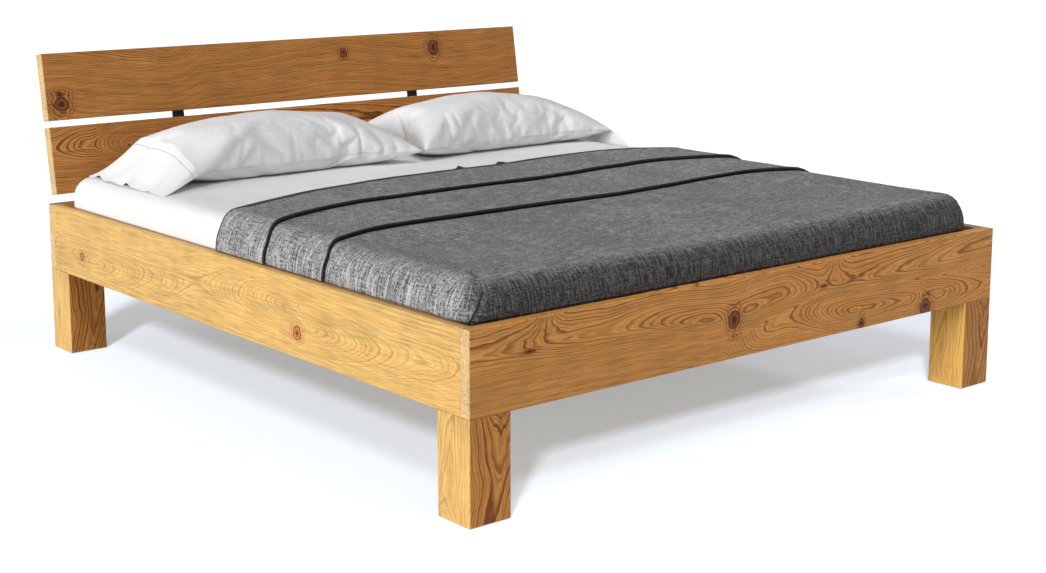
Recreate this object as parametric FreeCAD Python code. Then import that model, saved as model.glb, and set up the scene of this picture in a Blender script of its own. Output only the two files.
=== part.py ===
import FreeCAD, Part
import math
import os

# A double bed of solid pine planks on four block legs, with a leaning two-plank headboard.
# It is dressed with a mattress, a fitted sheet, a folded blanket and two pillows.
# Millimetres. +X runs across the bed, +Y from the foot to the head, +Z up.
# The origin is on the floor, under the middle of the whole bed's box.

Vector = FreeCAD.Vector
ACROSS = Vector(1, 0, 0)
ALONG = Vector(0, 1, 0)
UP = Vector(0, 0, 1)
LEFT, RIGHT = -1, 1
FOOT, HEAD = -1, 1
SIDES = {"left": LEFT, "right": RIGHT}
ENDS = {"foot": FOOT, "head": HEAD}

# Mattress, and the room left round it in the frame
mattress_width = 1790.0
mattress_length = 1990.0
mattress_height = 180.0
mattress_edge_radius = 55.0
mattress_corner_radius = 75.0
mattress_under_easing = 12.0
mattress_side_room = 8.0
mattress_end_room = 13.0
mattress_rise = 82.0

# Planks of the frame
board_thickness = 32.0
board_height = 200.0
board_easing = 1.5

# Block legs, rebated to a stub that stands inside the frame's corner
leg_side = 116.0
leg_height = 246.0
glide_thickness = 2.0
glide_radius = 30.0

# Headboard: two planks on two bent flat steel bars
headboard_lean = 9.0
headboard_plank_height = 204.0
headboard_plank_thickness = 36.0
headboard_side_step = 13.0
headboard_rise = 24.0
headboard_gap = 20.0
bracket_width = 40.0
bracket_thickness = 5.0
bracket_spacing = 926.0
bracket_foot = 150.0
bracket_top_step = 40.0

# Ledges, centre beam with its leg, and slats
ledge_width = 30.0
ledge_height = 40.0
beam_width = 50.0
beam_height = 76.0
beam_end_gap = 0.5
centre_leg_side = 60.0
slat_width = 70.0
slat_thickness = 22.0
slat_count = 14
slat_easing = 2.5
slat_end_gap = 3.0
slat_middle_gap = 4.0
slat_first_gap = 20.0
strap_width = 25.0
strap_thickness = 1.5
strap_place_shares = (0.25, 0.75)

# Sheet-steel hangers that carry the beam's ends
hanger_thickness = 2.5
hanger_depth = 45.0
hanger_wall = 60.0
hanger_flange = 28.0
hanger_side_gap = 0.5

# Fasteners
fit_gap = 0.1
bolt_radius = 4.0
bolt_head_width = 13.0
bolt_head_height = 5.3
bolt_collar_radius = 12.0
bolt_collar_thickness = 1.6
bolt_bite = 20.0
bolt_place_share = 0.5
end_bolt_height_share = 0.3
rail_bolt_height_share = 0.7
screw_radius = 3.0
screw_head_width = 10.0
screw_head_height = 4.0
screw_bite = 22.0
bracket_screw_shares = (0.25, 0.75)
plank_screw_shares = (0.3, 0.65)
ledge_screw_shares = (0.04, 0.5, 0.96)
hanger_screw_share = 0.5
leg_bolt_length = 80.0

# Bedding
sheet_thickness = 1.0
sheet_hem_rise = 18.0
cloth_gap = 0.3
blanket_thickness = 4.0
blanket_side_thickness = 3.0
blanket_fold_rise = 8.0
blanket_fold_side_rise = 1.2
blanket_hem_depth = 60.0
blanket_head_edge = 1312.0
blanket_head_drop = 155.0
blanket_head_reach = 500.0
blanket_fold_edges = (696.0, 1020.0)
blanket_fold_drops = (72.0, 110.0)
blanket_fold_reaches = (150.0, 240.0)
pillow_width = 800.0
pillow_depth = 474.0
pillow_crown = 134.0
pillow_seam_rise = 41.0
pillow_belly = 62.0
pillow_head_gap = 45.0
pillow_pair_gap = 5.0
pillow_side_overhang = 10.0
pillow_waist = 26.0
pillow_tip_share = 0.05
pillow_mouth_share = 0.42
pillow_station_count = 20
pillow_fullness_power = 3.2
pillow_shoulder_power = 0.62
flap_thickness = 4.0
flap_reach = 158.0
flap_front_spread = 95.0
flap_back_spread = 70.0
flap_rest = 2.4
flap_hang = 96.0
flap_side_gap = 26.0
flap_bow = 10.0

# A cut runs this far past the face that it starts from
overrun = 1.0

# Places that follow from the sizes above
frame_width = mattress_width + 2 * mattress_side_room + 2 * board_thickness
frame_length = mattress_length + 2 * mattress_end_room + 2 * board_thickness
frame_bottom = glide_thickness + leg_height
frame_top = frame_bottom + board_height
mattress_top = frame_top + mattress_rise
mattress_bottom = mattress_top - mattress_height
slat_bottom = mattress_bottom - slat_thickness
stub_side = leg_side - board_thickness
stub_height = slat_bottom - frame_bottom
inner_half_width = frame_width / 2 - board_thickness
lean_angle = math.radians(headboard_lean)
lower_plank_foot = headboard_rise
upper_plank_foot = lower_plank_foot + headboard_plank_height + headboard_gap
headboard_reach = upper_plank_foot + headboard_plank_height
bracket_reach = headboard_reach - bracket_top_step
total_depth = frame_length + headboard_reach * math.sin(lean_angle)
foot_y = -total_depth / 2
head_y = foot_y + frame_length
inner_foot_y = foot_y + board_thickness
inner_head_y = head_y - board_thickness
mattress_middle_y = (foot_y + head_y) / 2


def block(low, high):
    """A box between two opposite corners."""
    corner = Vector(min(low.x, high.x), min(low.y, high.y), min(low.z, high.z))
    return Part.makeBox(abs(high.x - low.x), abs(high.y - low.y), abs(high.z - low.z), corner)


def rod(start, end, radius):
    """A round bar from one point to another."""
    run = end - start
    return Part.makeCylinder(radius, run.Length, start, run)


def eased(shape, depth):
    """The shape with all its edges planed off a little."""
    return shape.makeChamfer(depth, shape.Edges)


def long_edges(shape, direction):
    """The straight edges that run along a direction."""
    return [
        edge for edge in shape.Edges
        if abs(abs(edge.tangentAt(edge.FirstParameter).dot(direction)) - 1) < fit_gap
    ]


def extruded(points, run):
    """A closed outline of straight lines, drawn out along a vector."""
    outline = Part.makePolygon(points + points[:1])
    return Part.Face(outline).extrude(run)


def arc(start, middle, end):
    return Part.Arc(start, middle, end).toShape()


def save(name, shapes):
    """One STEP file for each node: a single solid, or a group of separate ones."""
    group = shapes if isinstance(shapes, list) else [shapes]
    shape = group[0] if len(group) == 1 else Part.makeCompound(group)
    shape.exportStep("parts/" + name + ".step")
    solids = len(shape.Solids)
    print(name, "solids", solids, "valid", shape.isValid(), "volume", round(shape.Volume))


def from_corner(side, end, across, along, height):
    """A point measured inwards from the frame's outer faces at one corner."""
    x = side * (frame_width / 2 - across)
    y = foot_y + along if end == FOOT else head_y - along
    return Vector(x, y, height)


# Frame: the end boards run the full width and the side rails butt between them
def bolt_lines(side, end):
    """Start (at the stub's inner face) and end (in the board) of the two bolts of one leg."""
    deep = board_thickness - bolt_bite
    place = board_thickness + bolt_place_share * stub_side
    low = frame_bottom + end_bolt_height_share * stub_height
    high = frame_bottom + rail_bolt_height_share * stub_height
    return [
        (from_corner(side, end, place, leg_side, low), from_corner(side, end, place, deep, low)),
        (from_corner(side, end, leg_side, place, high), from_corner(side, end, deep, place, high)),
    ]


def all_bolt_lines():
    return [line for side in SIDES.values() for end in ENDS.values() for line in bolt_lines(side, end)]


def drilled(board, lines, radius):
    """The board with round holes along lines, each a fit wider than what goes in it."""
    for start, end in lines:
        board = board.cut(rod(start, end, radius + fit_gap))
    return board


def frame_board(low, high):
    return drilled(eased(block(low, high), board_easing), all_bolt_lines(), bolt_radius)


def end_board(end):
    low = from_corner(LEFT, end, 0, 0, frame_bottom)
    high = from_corner(RIGHT, end, 0, board_thickness, frame_top)
    board = frame_board(low, high)
    board = drilled(board, hanger_screw_lines(end), screw_radius)
    if end == HEAD:
        board = drilled(board, bracket_screw_lines(), screw_radius)
    return board


def side_rail(side):
    low = from_corner(side, FOOT, 0, board_thickness, frame_bottom)
    high = from_corner(side, HEAD, board_thickness, board_thickness, frame_top)
    return drilled(frame_board(low, high), ledge_screw_lines(side), screw_radius)


def leg(side, end):
    """A block with two rebates that leave a stub inside the frame's corner."""
    top = slat_bottom
    low = from_corner(side, end, 0, 0, glide_thickness)
    high = from_corner(side, end, leg_side, leg_side, top)
    body = eased(block(low, high), board_easing)
    past = leg_side + overrun
    rail_rebate = block(
        from_corner(side, end, -overrun, -overrun, frame_bottom),
        from_corner(side, end, board_thickness, past, top + overrun),
    )
    end_rebate = block(
        from_corner(side, end, -overrun, -overrun, frame_bottom),
        from_corner(side, end, past, board_thickness, top + overrun),
    )
    body = body.cut(rail_rebate).cut(end_rebate)
    return drilled(body, bolt_lines(side, end), bolt_radius)


def hex_headed(line, radius, head_width, head_height):
    """A bolt or screw whose hexagon head seats at the start of the line."""
    start, end = line
    outward = (start - end).normalize()
    corner_radius = head_width / math.sqrt(3)
    side = UP.cross(outward)
    corners = []
    for step in range(6):
        turn = step * math.pi / 3
        corners.append(start + (side * math.cos(turn) + UP * math.sin(turn)) * corner_radius)
    head = extruded(corners, outward * head_height)
    return head.fuse(rod(start, end, radius)).removeSplitter()


def corner_bolt(line):
    """A coach screw with a round collar under its head."""
    start, end = line
    head_seat = start + (start - end).normalize() * bolt_collar_thickness
    bolt = hex_headed((head_seat, end), bolt_radius, bolt_head_width, bolt_head_height)
    return bolt.fuse(rod(start, head_seat, bolt_collar_radius)).removeSplitter()


def screw(line):
    return hex_headed(line, screw_radius, screw_head_width, screw_head_height)


def glide(x, y):
    return rod(Vector(x, y, 0), Vector(x, y, glide_thickness), glide_radius)


# Headboard: planks and bars are drawn upright and then leaned back over the frame's top edge
def leaned(shape):
    tilt = FreeCAD.Rotation(ACROSS, -headboard_lean)
    moved = shape.copy()
    moved.Placement = FreeCAD.Placement(Vector(0, head_y, frame_top), tilt).multiply(shape.Placement)
    return moved


def plank_screw_lines(side, foot):
    """Start (at the bar's rear face) and end of the screws that hold one plank to one bar."""
    x = side * bracket_spacing / 2
    lines = []
    for share in plank_screw_shares:
        reach = foot + share * headboard_plank_height
        lines.append((Vector(x, bracket_thickness, reach), Vector(x, -screw_bite, reach)))
    return lines


def headboard_plank(foot):
    half = frame_width / 2 - headboard_side_step
    plank = block(
        Vector(-half, -headboard_plank_thickness, foot),
        Vector(half, 0, foot + headboard_plank_height),
    )
    plank = eased(plank, board_easing)
    for side in SIDES.values():
        plank = drilled(plank, plank_screw_lines(side, foot), screw_radius)
    return leaned(plank)


def side_bracket_screw_lines(side):
    x = side * bracket_spacing / 2
    lines = []
    for share in bracket_screw_shares:
        height = frame_top - share * bracket_foot
        start = Vector(x, head_y + bracket_thickness, height)
        lines.append((start, Vector(x, head_y - screw_bite, height)))
    return lines


def bracket_screw_lines():
    return side_bracket_screw_lines(LEFT) + side_bracket_screw_lines(RIGHT)


def headboard_bracket(side):
    """A flat bar, upright on the head board's outer face and bent back at its top edge."""
    x = side * bracket_spacing / 2 - bracket_width / 2
    lean_up = Vector(0, math.sin(lean_angle), math.cos(lean_angle))
    lean_back = Vector(0, math.cos(lean_angle), -math.sin(lean_angle))
    bend = Vector(x, head_y, frame_top)
    tip = bend + lean_up * bracket_reach
    rear_bend = bend + Vector(0, bracket_thickness, -bracket_thickness * math.tan(lean_angle / 2))
    bar = extruded(
        [
            Vector(x, head_y, frame_top - bracket_foot),
            bend,
            tip,
            tip + lean_back * bracket_thickness,
            rear_bend,
            Vector(x, head_y + bracket_thickness, frame_top - bracket_foot),
        ],
        ACROSS * bracket_width,
    )
    bar = drilled(bar, side_bracket_screw_lines(side), screw_radius)
    for foot in (lower_plank_foot, upper_plank_foot):
        for start, end in plank_screw_lines(side, foot):
            bar = bar.cut(leaned(rod(start, end, screw_radius + fit_gap)))
    return bar


# Mattress support
def ledge_screw_lines(side):
    lines = []
    height = slat_bottom - ledge_height / 2
    run = frame_length - 2 * leg_side
    for share in ledge_screw_shares:
        along = leg_side + share * run
        start = from_corner(side, FOOT, board_thickness + ledge_width, along, height)
        lines.append((start, from_corner(side, FOOT, board_thickness - screw_bite, along, height)))
    return lines


def ledge(side):
    low = from_corner(side, FOOT, board_thickness, leg_side, slat_bottom - ledge_height)
    high = from_corner(side, HEAD, board_thickness + ledge_width, leg_side, slat_bottom)
    return drilled(block(low, high), ledge_screw_lines(side), screw_radius)


def centre_beam():
    low = Vector(-beam_width / 2, inner_foot_y + beam_end_gap, slat_bottom - beam_height)
    high = Vector(beam_width / 2, inner_head_y - beam_end_gap, slat_bottom)
    return drilled(block(low, high), [centre_bolt_line()], bolt_radius)


def hanger_screw_lines(end):
    """Start (at the flange's inner face) and end of the two screws of one hanger."""
    face = inner_foot_y if end == FOOT else inner_head_y
    x = beam_width / 2 + hanger_side_gap + hanger_thickness + hanger_flange / 2
    height = slat_bottom - beam_height - hanger_thickness + hanger_screw_share * hanger_wall
    lines = []
    for side in SIDES.values():
        start = Vector(side * x, face - end * hanger_thickness, height)
        lines.append((start, Vector(side * x, face + end * screw_bite, height)))
    return lines


def beam_hanger(end):
    """A trough of bent sheet under the beam's end, with a flange each side on the board."""
    face = inner_foot_y if end == FOOT else inner_head_y
    inner = beam_width / 2 + hanger_side_gap
    outer = inner + hanger_thickness
    floor = slat_bottom - beam_height
    low = floor - hanger_thickness
    top = low + hanger_wall
    trough = block(Vector(-outer, face, low), Vector(outer, face - end * hanger_depth, top))
    trough = trough.cut(block(
        Vector(-inner, face + end * overrun, floor),
        Vector(inner, face - end * (hanger_depth + overrun), top + overrun),
    ))
    for side in SIDES.values():
        flange = block(
            Vector(side * inner, face, low),
            Vector(side * (outer + hanger_flange), face - end * hanger_thickness, top),
        )
        trough = trough.fuse(flange)
    return drilled(trough.removeSplitter(), hanger_screw_lines(end), screw_radius)


def centre_bolt_line():
    joint = slat_bottom - beam_height
    half = leg_bolt_length / 2
    return Vector(0, mattress_middle_y, joint - half), Vector(0, mattress_middle_y, joint + half)


def centre_leg():
    half = centre_leg_side / 2
    low = Vector(-half, mattress_middle_y - half, glide_thickness)
    high = Vector(half, mattress_middle_y + half, slat_bottom - beam_height)
    return drilled(eased(block(low, high), board_easing), [centre_bolt_line()], bolt_radius)


def slat_places():
    """The near edge of each slat, spread evenly over the frame's inner length."""
    run = inner_head_y - inner_foot_y - 2 * slat_first_gap - slat_width
    step = run / (slat_count - 1)
    return [inner_foot_y + slat_first_gap + number * step for number in range(slat_count)]


def slats(side):
    group = []
    for place in slat_places():
        low = Vector(side * slat_middle_gap, place, slat_bottom)
        high = Vector(side * (inner_half_width - slat_end_gap), place + slat_width, mattress_bottom)
        slat = block(low, high)
        group.append(slat.makeChamfer(slat_easing, long_edges(slat, ACROSS)))
    return group


def slat_straps(side):
    """Woven straps under the slats that keep them at their spacing."""
    group = []
    places = slat_places()
    span = inner_half_width - slat_end_gap - slat_middle_gap
    for share in strap_place_shares:
        x = side * (slat_middle_gap + share * span)
        low = Vector(x - strap_width / 2, places[0], slat_bottom - strap_thickness)
        high = Vector(x + strap_width / 2, places[-1] + slat_width, slat_bottom)
        group.append(block(low, high))
    return group


# Bedding: the mattress form, grown a little for each layer that covers it
def mattress_form(side_growth, top_growth, bottom):
    half_width = mattress_width / 2 + side_growth
    half_length = mattress_length / 2 + side_growth
    top = mattress_top + top_growth
    form = block(
        Vector(-half_width, mattress_middle_y - half_length, bottom),
        Vector(half_width, mattress_middle_y + half_length, top),
    )
    form = form.makeFillet(mattress_corner_radius + side_growth, long_edges(form, UP))
    rim = [edge for edge in form.Edges if edge.BoundBox.ZMin > top - fit_gap]
    return form.makeFillet(mattress_edge_radius + side_growth, rim)


def mattress():
    form = mattress_form(0, 0, mattress_bottom)
    rim = [edge for edge in form.Edges if edge.BoundBox.ZMax < mattress_bottom + fit_gap]
    return form.makeChamfer(mattress_under_easing, rim)


def fitted_sheet():
    hem = mattress_bottom + sheet_hem_rise
    outer = mattress_form(sheet_thickness, sheet_thickness, hem)
    return outer.cut(mattress_form(0, 0, hem - overrun))


def cross_line(middle, drop, reach, half):
    """A line across the bed, straight in the middle and curving to the foot at both sides."""
    inner = half - reach
    y = foot_y + middle
    turn = 2 * math.atan2(drop, reach)
    radius = reach / math.sin(turn)
    bow_x = inner + radius * math.sin(turn / 2)
    bow_y = y - radius * (1 - math.cos(turn / 2))
    return [
        arc(Vector(-half, y - drop, 0), Vector(-bow_x, bow_y, 0), Vector(-inner, y, 0)),
        Part.makeLine(Vector(-inner, y, 0), Vector(inner, y, 0)),
        arc(Vector(inner, y, 0), Vector(bow_x, bow_y, 0), Vector(half, y - drop, 0)),
    ]


def footward_of(middle, drop, reach, bottom, top):
    """All the space between heights that lies towards the foot from a line across the bed."""
    half = frame_width / 2
    y = foot_y + middle - drop
    edges = cross_line(middle, drop, reach, half)
    edges += [
        Part.makeLine(Vector(half, y, 0), Vector(half, foot_y, 0)),
        Part.makeLine(Vector(half, foot_y, 0), Vector(-half, foot_y, 0)),
        Part.makeLine(Vector(-half, foot_y, 0), Vector(-half, y, 0)),
    ]
    face = Part.Face(Part.Wire(Part.__sortEdges__(edges)))
    face.translate(UP * bottom)
    return face.extrude(UP * (top - bottom))


def blanket():
    """One cloth, tucked in at the foot and the sides, with two folded bands towards the head."""
    hem = frame_top - blanket_hem_depth
    sky = mattress_top + mattress_height
    inner_growth = sheet_thickness + cloth_gap
    side = inner_growth + blanket_side_thickness
    top = inner_growth + blanket_thickness
    cover = mattress_form(side, top, hem)
    for fold in range(len(blanket_fold_edges)):
        side += blanket_fold_side_rise
        top += blanket_fold_rise
        band = mattress_form(side, top, hem)
        foot_side = footward_of(
            blanket_fold_edges[fold], blanket_fold_drops[fold], blanket_fold_reaches[fold],
            hem - overrun, sky,
        )
        cover = cover.fuse(band.cut(foot_side))
    head_side = footward_of(blanket_head_edge, blanket_head_drop, blanket_head_reach, hem - overrun, sky)
    cover = cover.common(head_side)
    return cover.cut(mattress_form(inner_growth, inner_growth, hem - overrun))


def pillow_rest():
    return mattress_top + sheet_thickness + cloth_gap


def pillow_middle_y():
    return inner_head_y - pillow_head_gap / 2 - pillow_depth / 2


def pillow_centre(side):
    """The pair lies a little to the right: its right end stands past the mattress's side."""
    right = mattress_width / 2 + pillow_side_overhang - pillow_width / 2
    return right if side == RIGHT else right - pillow_pair_gap - pillow_width


def pillow_section(centre_x, station, mouth_side):
    """A lens of two arcs, from the front seam over the crown to the back seam and under. The sewn
    end is thin, the open end of the case stays fuller."""
    fullness = (1 - abs(station) ** pillow_fullness_power) ** pillow_shoulder_power
    end_share = pillow_mouth_share if station * mouth_side > 0 else pillow_tip_share
    swell = end_share + (1 - end_share) * fullness
    half = pillow_depth / 2 - pillow_waist / 2 * (1 - station ** 2)
    x = centre_x + station * pillow_width / 2
    seam_z = pillow_rest() + pillow_seam_rise
    front = Vector(x, pillow_middle_y() - half, seam_z)
    back = Vector(x, pillow_middle_y() + half, seam_z)
    crown = Vector(x, pillow_middle_y(), seam_z + swell * pillow_crown)
    belly = Vector(x, pillow_middle_y(), seam_z - swell * pillow_belly)
    return Part.Wire([arc(front, crown, back), arc(back, belly, front)])


def pillow(side):
    """A plump pillow, thin at its seams, drawn in at its sides and flat where it lies."""
    sections = []
    for number in range(pillow_station_count + 1):
        station = math.sin(math.pi * (number / pillow_station_count - 1 / 2))
        sections.append(pillow_section(pillow_centre(side), station, side))
    body = Part.makeLoft(sections, True, True)
    floor = block(
        Vector(pillow_centre(side) - pillow_width, inner_foot_y, mattress_bottom),
        Vector(pillow_centre(side) + pillow_width, inner_head_y, pillow_rest()),
    )
    return body.cut(floor)


def flap_section(x, bottom, turn, spread_share, crown):
    """A thin bowed strip across the flap, from its front to its back edge. Turn leans it from level
    to upright, and the spread share fans it out towards the foot."""
    outward = UP * math.cos(turn) + ACROSS * math.sin(turn)
    half = pillow_depth / 2
    front = Vector(x, pillow_middle_y() - half - spread_share * flap_front_spread, bottom)
    back = Vector(x, pillow_middle_y() + half - spread_share * flap_back_spread, bottom)
    bow = (front + back) / 2 + outward * crown
    rise = outward * flap_thickness
    return Part.Wire([
        arc(front, bow, back),
        Part.makeLine(back, back + rise),
        arc(back + rise, bow + rise, front + rise),
        Part.makeLine(front + rise, front),
    ])


def mouth_bottom():
    return pillow_rest() + pillow_seam_rise - flap_thickness / 2


def mouth_crown():
    return pillow_mouth_share * pillow_crown


def resting_flap():
    """The open end of the left pillowcase, lying down over the mattress's rounded edge."""
    seam_x = pillow_centre(LEFT) - pillow_width / 2
    hem_bottom = pillow_rest() - flap_rest
    return Part.makeLoft([
        flap_section(seam_x, mouth_bottom(), 0, 0, mouth_crown()),
        flap_section(seam_x - flap_reach, hem_bottom, 0, 1, flap_bow),
    ], True, True)


def hanging_flap():
    """The open end of the right pillowcase, hanging down past the mattress's side."""
    seam_x = pillow_centre(RIGHT) + pillow_width / 2
    hem_x = mattress_width / 2 + sheet_thickness + flap_side_gap
    share = math.sqrt(0.5)
    bend_x = seam_x + share * (hem_x - seam_x)
    bend_bottom = mouth_bottom() - (1 - share) * flap_hang
    return Part.makeLoft([
        flap_section(seam_x, mouth_bottom(), 0, 0, flap_bow),
        flap_section(bend_x, bend_bottom, math.pi / 4, share, flap_bow),
        flap_section(hem_x, mouth_bottom() - flap_hang, math.pi / 2, 1, flap_bow),
    ], True, True)


for name, end in ENDS.items():
    save({"foot": "foot_board", "head": "head_end_board"}[name], end_board(end))
    save("beam_hanger_" + name, beam_hanger(end))
for name, side in SIDES.items():
    save("side_rail_" + name, side_rail(side))
    save("ledge_" + name, ledge(side))
    save("slats_" + name, slats(side))
    save("slat_straps_" + name, slat_straps(side))
    save("headboard_bracket_" + name, headboard_bracket(side))
    for end_name, end in ENDS.items():
        save("leg_" + end_name + "_" + name, leg(side, end))
save("headboard_plank_lower", headboard_plank(lower_plank_foot))
save("headboard_plank_upper", headboard_plank(upper_plank_foot))
save("centre_beam", centre_beam())
save("centre_leg", centre_leg())
save("centre_leg_bolt", rod(*centre_bolt_line(), bolt_radius))
save("corner_bolts", [corner_bolt(line) for line in all_bolt_lines()])
save("bracket_screws", [screw(line) for line in bracket_screw_lines()])
save("plank_screws", [
    leaned(screw(line))
    for side in SIDES.values()
    for foot in (lower_plank_foot, upper_plank_foot)
    for line in plank_screw_lines(side, foot)
])
save("ledge_screws", [screw(line) for side in SIDES.values() for line in ledge_screw_lines(side)])
save("hanger_screws", [screw(line) for end in ENDS.values() for line in hanger_screw_lines(end)])
leg_middle = frame_width / 2 - leg_side / 2
leg_glides = [
    glide(side * leg_middle, y)
    for side in SIDES.values()
    for y in (foot_y + leg_side / 2, head_y - leg_side / 2)
]
save("leg_glides", leg_glides + [glide(0, mattress_middle_y)])
save("mattress", mattress())
save("fitted_sheet", fitted_sheet())
save("blanket", blanket())
save("pillow_left", pillow(LEFT))
save("pillow_right", pillow(RIGHT))
save("pillowcase_flap_left", resting_flap())
save("pillowcase_flap_right", hanging_flap())
print("bed", frame_width, total_depth, frame_top + headboard_reach * math.cos(lean_angle))
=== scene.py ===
# %% [markdown]
# A double bed of oiled pine planks on four block legs. It is dressed with a mattress, a white fitted
# sheet, a dark grey woven blanket with two folded steps, and two pillows in white cases.
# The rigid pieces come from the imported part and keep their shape, so this file gives them their
# finish. The soft pieces are made here, each in the room that its plain solid holds.

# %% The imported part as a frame
import math

import bmesh
import bpy
from mathutils import Matrix, Vector, noise


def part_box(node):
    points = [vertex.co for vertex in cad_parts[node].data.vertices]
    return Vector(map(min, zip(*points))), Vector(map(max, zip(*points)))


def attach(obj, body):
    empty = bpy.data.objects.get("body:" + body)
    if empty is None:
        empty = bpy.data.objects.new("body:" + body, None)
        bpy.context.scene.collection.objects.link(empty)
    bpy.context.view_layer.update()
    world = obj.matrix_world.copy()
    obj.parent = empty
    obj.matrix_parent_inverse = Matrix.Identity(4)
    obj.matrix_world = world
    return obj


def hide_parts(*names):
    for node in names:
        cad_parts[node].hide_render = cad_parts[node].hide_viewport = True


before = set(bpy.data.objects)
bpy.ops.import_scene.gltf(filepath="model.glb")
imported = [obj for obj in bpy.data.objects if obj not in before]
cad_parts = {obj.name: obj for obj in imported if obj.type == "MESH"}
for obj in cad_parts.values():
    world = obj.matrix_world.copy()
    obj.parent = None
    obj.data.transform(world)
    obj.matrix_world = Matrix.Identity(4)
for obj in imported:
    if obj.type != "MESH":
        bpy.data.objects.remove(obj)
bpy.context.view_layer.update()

# %% [markdown]
# The camera stands where the photographer's did. Its turn, height and lens come from fitting the bed's
# known corners to the photograph: it looks from the foot's left side, a little down, and its picture is
# shifted down as well, as that of a cropped photograph is.

# %% Camera
photo_width = 1046
focal_pixels = 1751.0
sensor_width = 36.0
camera_turn, camera_tilt = math.radians(-39.67), math.radians(9.82)
camera_place = Vector((-3.175, -3.958, 1.358))
picture_middle_down = 83.5

backward = Vector((
    math.sin(camera_turn) * math.cos(camera_tilt),
    -math.cos(camera_turn) * math.cos(camera_tilt),
    math.sin(camera_tilt),
))
bpy.ops.object.camera_add(location=camera_place)
camera = bpy.context.object
camera.rotation_euler = (-backward).to_track_quat("-Z", "Y").to_euler()
camera.data.sensor_width = sensor_width
camera.data.lens = sensor_width * focal_pixels / photo_width
camera.data.shift_y = -picture_middle_down / photo_width
bpy.context.scene.camera = camera
print("lens", round(camera.data.lens, 2), "mm")

# %% [markdown]
# Shader maths reads best as sums. Field wraps one socket of a node tree, so that an expression such as
# 1 - mask * 0.5 adds the Math nodes that it needs. Every other kind of node comes from its node method.

# %% Fields: shader maths as Python expressions
def operator(operation):
    return lambda field, other: field.maths(operation, other)


class Field:
    """One output of a node tree, or the tree itself while socket is None."""

    __add__ = __radd__ = operator("ADD")
    __sub__ = operator("SUBTRACT")
    __mul__ = __rmul__ = operator("MULTIPLY")
    __truediv__ = operator("DIVIDE")
    __pow__ = operator("POWER")

    def __init__(self, tree, socket=None):
        self.tree, self.socket = tree, socket

    def __rsub__(self, other):
        return self * -1.0 + other

    def node(self, kind, settings, inputs, output=0):
        made = self.tree.nodes.new("ShaderNode" + kind)
        for name, value in settings.items():
            if name == "stops":
                set_stops(made.color_ramp, value)
            else:
                setattr(made, name, value)
        self.plug(made.inputs, inputs)
        return Field(self.tree, made.outputs[output])

    def plug(self, entries, values):
        """Links fields to a node's entries, and sets plain values on them."""
        for name, value in values.items():
            if isinstance(value, Field):
                self.tree.links.new(value.socket, entries[name])
            else:
                entries[name].default_value = value

    def maths(self, operation, *others):
        """A Math node of this field and the others."""
        return self.node("Math", {"operation": operation}, dict(enumerate((self, *others))))

    def rise(self, low, high):
        """0 below low, 1 above high, and a smooth way between, also when high is the smaller."""
        limits = {"Value": self, "From Min": low, "From Max": high}
        return self.node("MapRange", {"interpolation_type": "SMOOTHSTEP"}, limits)

    def part(self, index):
        return self.node("SeparateXYZ", {}, {"Vector": self}, index)

    def coordinates(self, kind="Object"):
        return self.node("TexCoord", {}, {}, kind)


def set_stops(ramp, stops):
    """Gives a colour ramp its (place, colour) stops, with soft ways between them."""
    while len(ramp.elements) < len(stops):
        ramp.elements.new(1.0)
    for element, (place, colour) in zip(ramp.elements, stops):
        element.position = place
        element.color = (*colour, 1.0)
    ramp.interpolation = "EASE"


def mix_colours(factor, first, second, blend="MIX"):
    """A colour between two others. Each is a Field or three numbers, one at least a Field."""
    settings = {"data_type": "RGBA", "blend_type": blend, "clamp_factor": True}
    colours = [value if isinstance(value, Field) else (*value, 1.0) for value in (first, second)]
    field = next(value for value in (factor, *colours) if isinstance(value, Field))
    return field.node("Mix", settings, {0: factor, 6: colours[0], 7: colours[1]}, output=2)


def tinted(colour, shade):
    """A colour times a grey shade."""
    grey = shade.node("CombineColor", {}, {0: shade, 1: shade, 2: shade})
    return mix_colours(1.0, colour, grey, "MULTIPLY")


def grain(place, stretch, detail=2.0, roughness=0.5):
    """Smooth noise about 0, from -0.5 to 0.5. stretch is how often it changes along each axis."""
    stretched = place.node("VectorMath", {"operation": "MULTIPLY"}, {0: place, 1: stretch})
    inputs = {"Vector": stretched, "Scale": 1.0, "Detail": detail, "Roughness": roughness}
    return place.node("TexNoise", {"noise_dimensions": "3D"}, inputs) - 0.5


def new_material(name):
    """An empty material, the Field that builds its tree and its Principled shader's entries."""
    material = bpy.data.materials.new(name)
    material.use_nodes = True
    tree = material.node_tree
    return material, Field(tree), tree.nodes["Principled BSDF"].inputs


def bump(height, depth, strength=0.8):
    return height.node("Bump", {}, {"Height": height, "Distance": depth, "Strength": strength})


print("shader helpers ready")

# %% [markdown]
# The room is a plain pale studio. On the bed, soft light comes low from the left side and weaker from
# the front left, so the long left side is bright, the top is in between and the foot is darkest. The
# floor has lamps of its own, set apart by light linking: the picture shows a soft shadow in two even
# steps, and lamps that make it would light the foot too much. The world is white only where the camera
# or a reflection sees it.

# %% World
world_light, white = 0.26, (1, 1, 1, 1)


def seen_directly(field):
    """1 for what the camera sees, by itself, in a reflection or through glass."""
    kinds = ("Camera", "Glossy", "Transmission")
    camera_ray, glossy_ray, through_ray = [
        field.node("LightPath", {}, {}, f"Is {kind} Ray") for kind in kinds
    ]
    return (camera_ray + glossy_ray + through_ray).maths("MINIMUM", 1.0)


world = bpy.data.worlds.new("studio")
bpy.context.scene.world = world
world.use_nodes = True
field = Field(world.node_tree)
strength = seen_directly(field) * (1.0 - world_light) + world_light
field.plug(world.node_tree.nodes["Background"].inputs, {"Color": white, "Strength": strength})
bpy.context.scene.view_settings.view_transform = "Standard"
print("world light", world_light)


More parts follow.
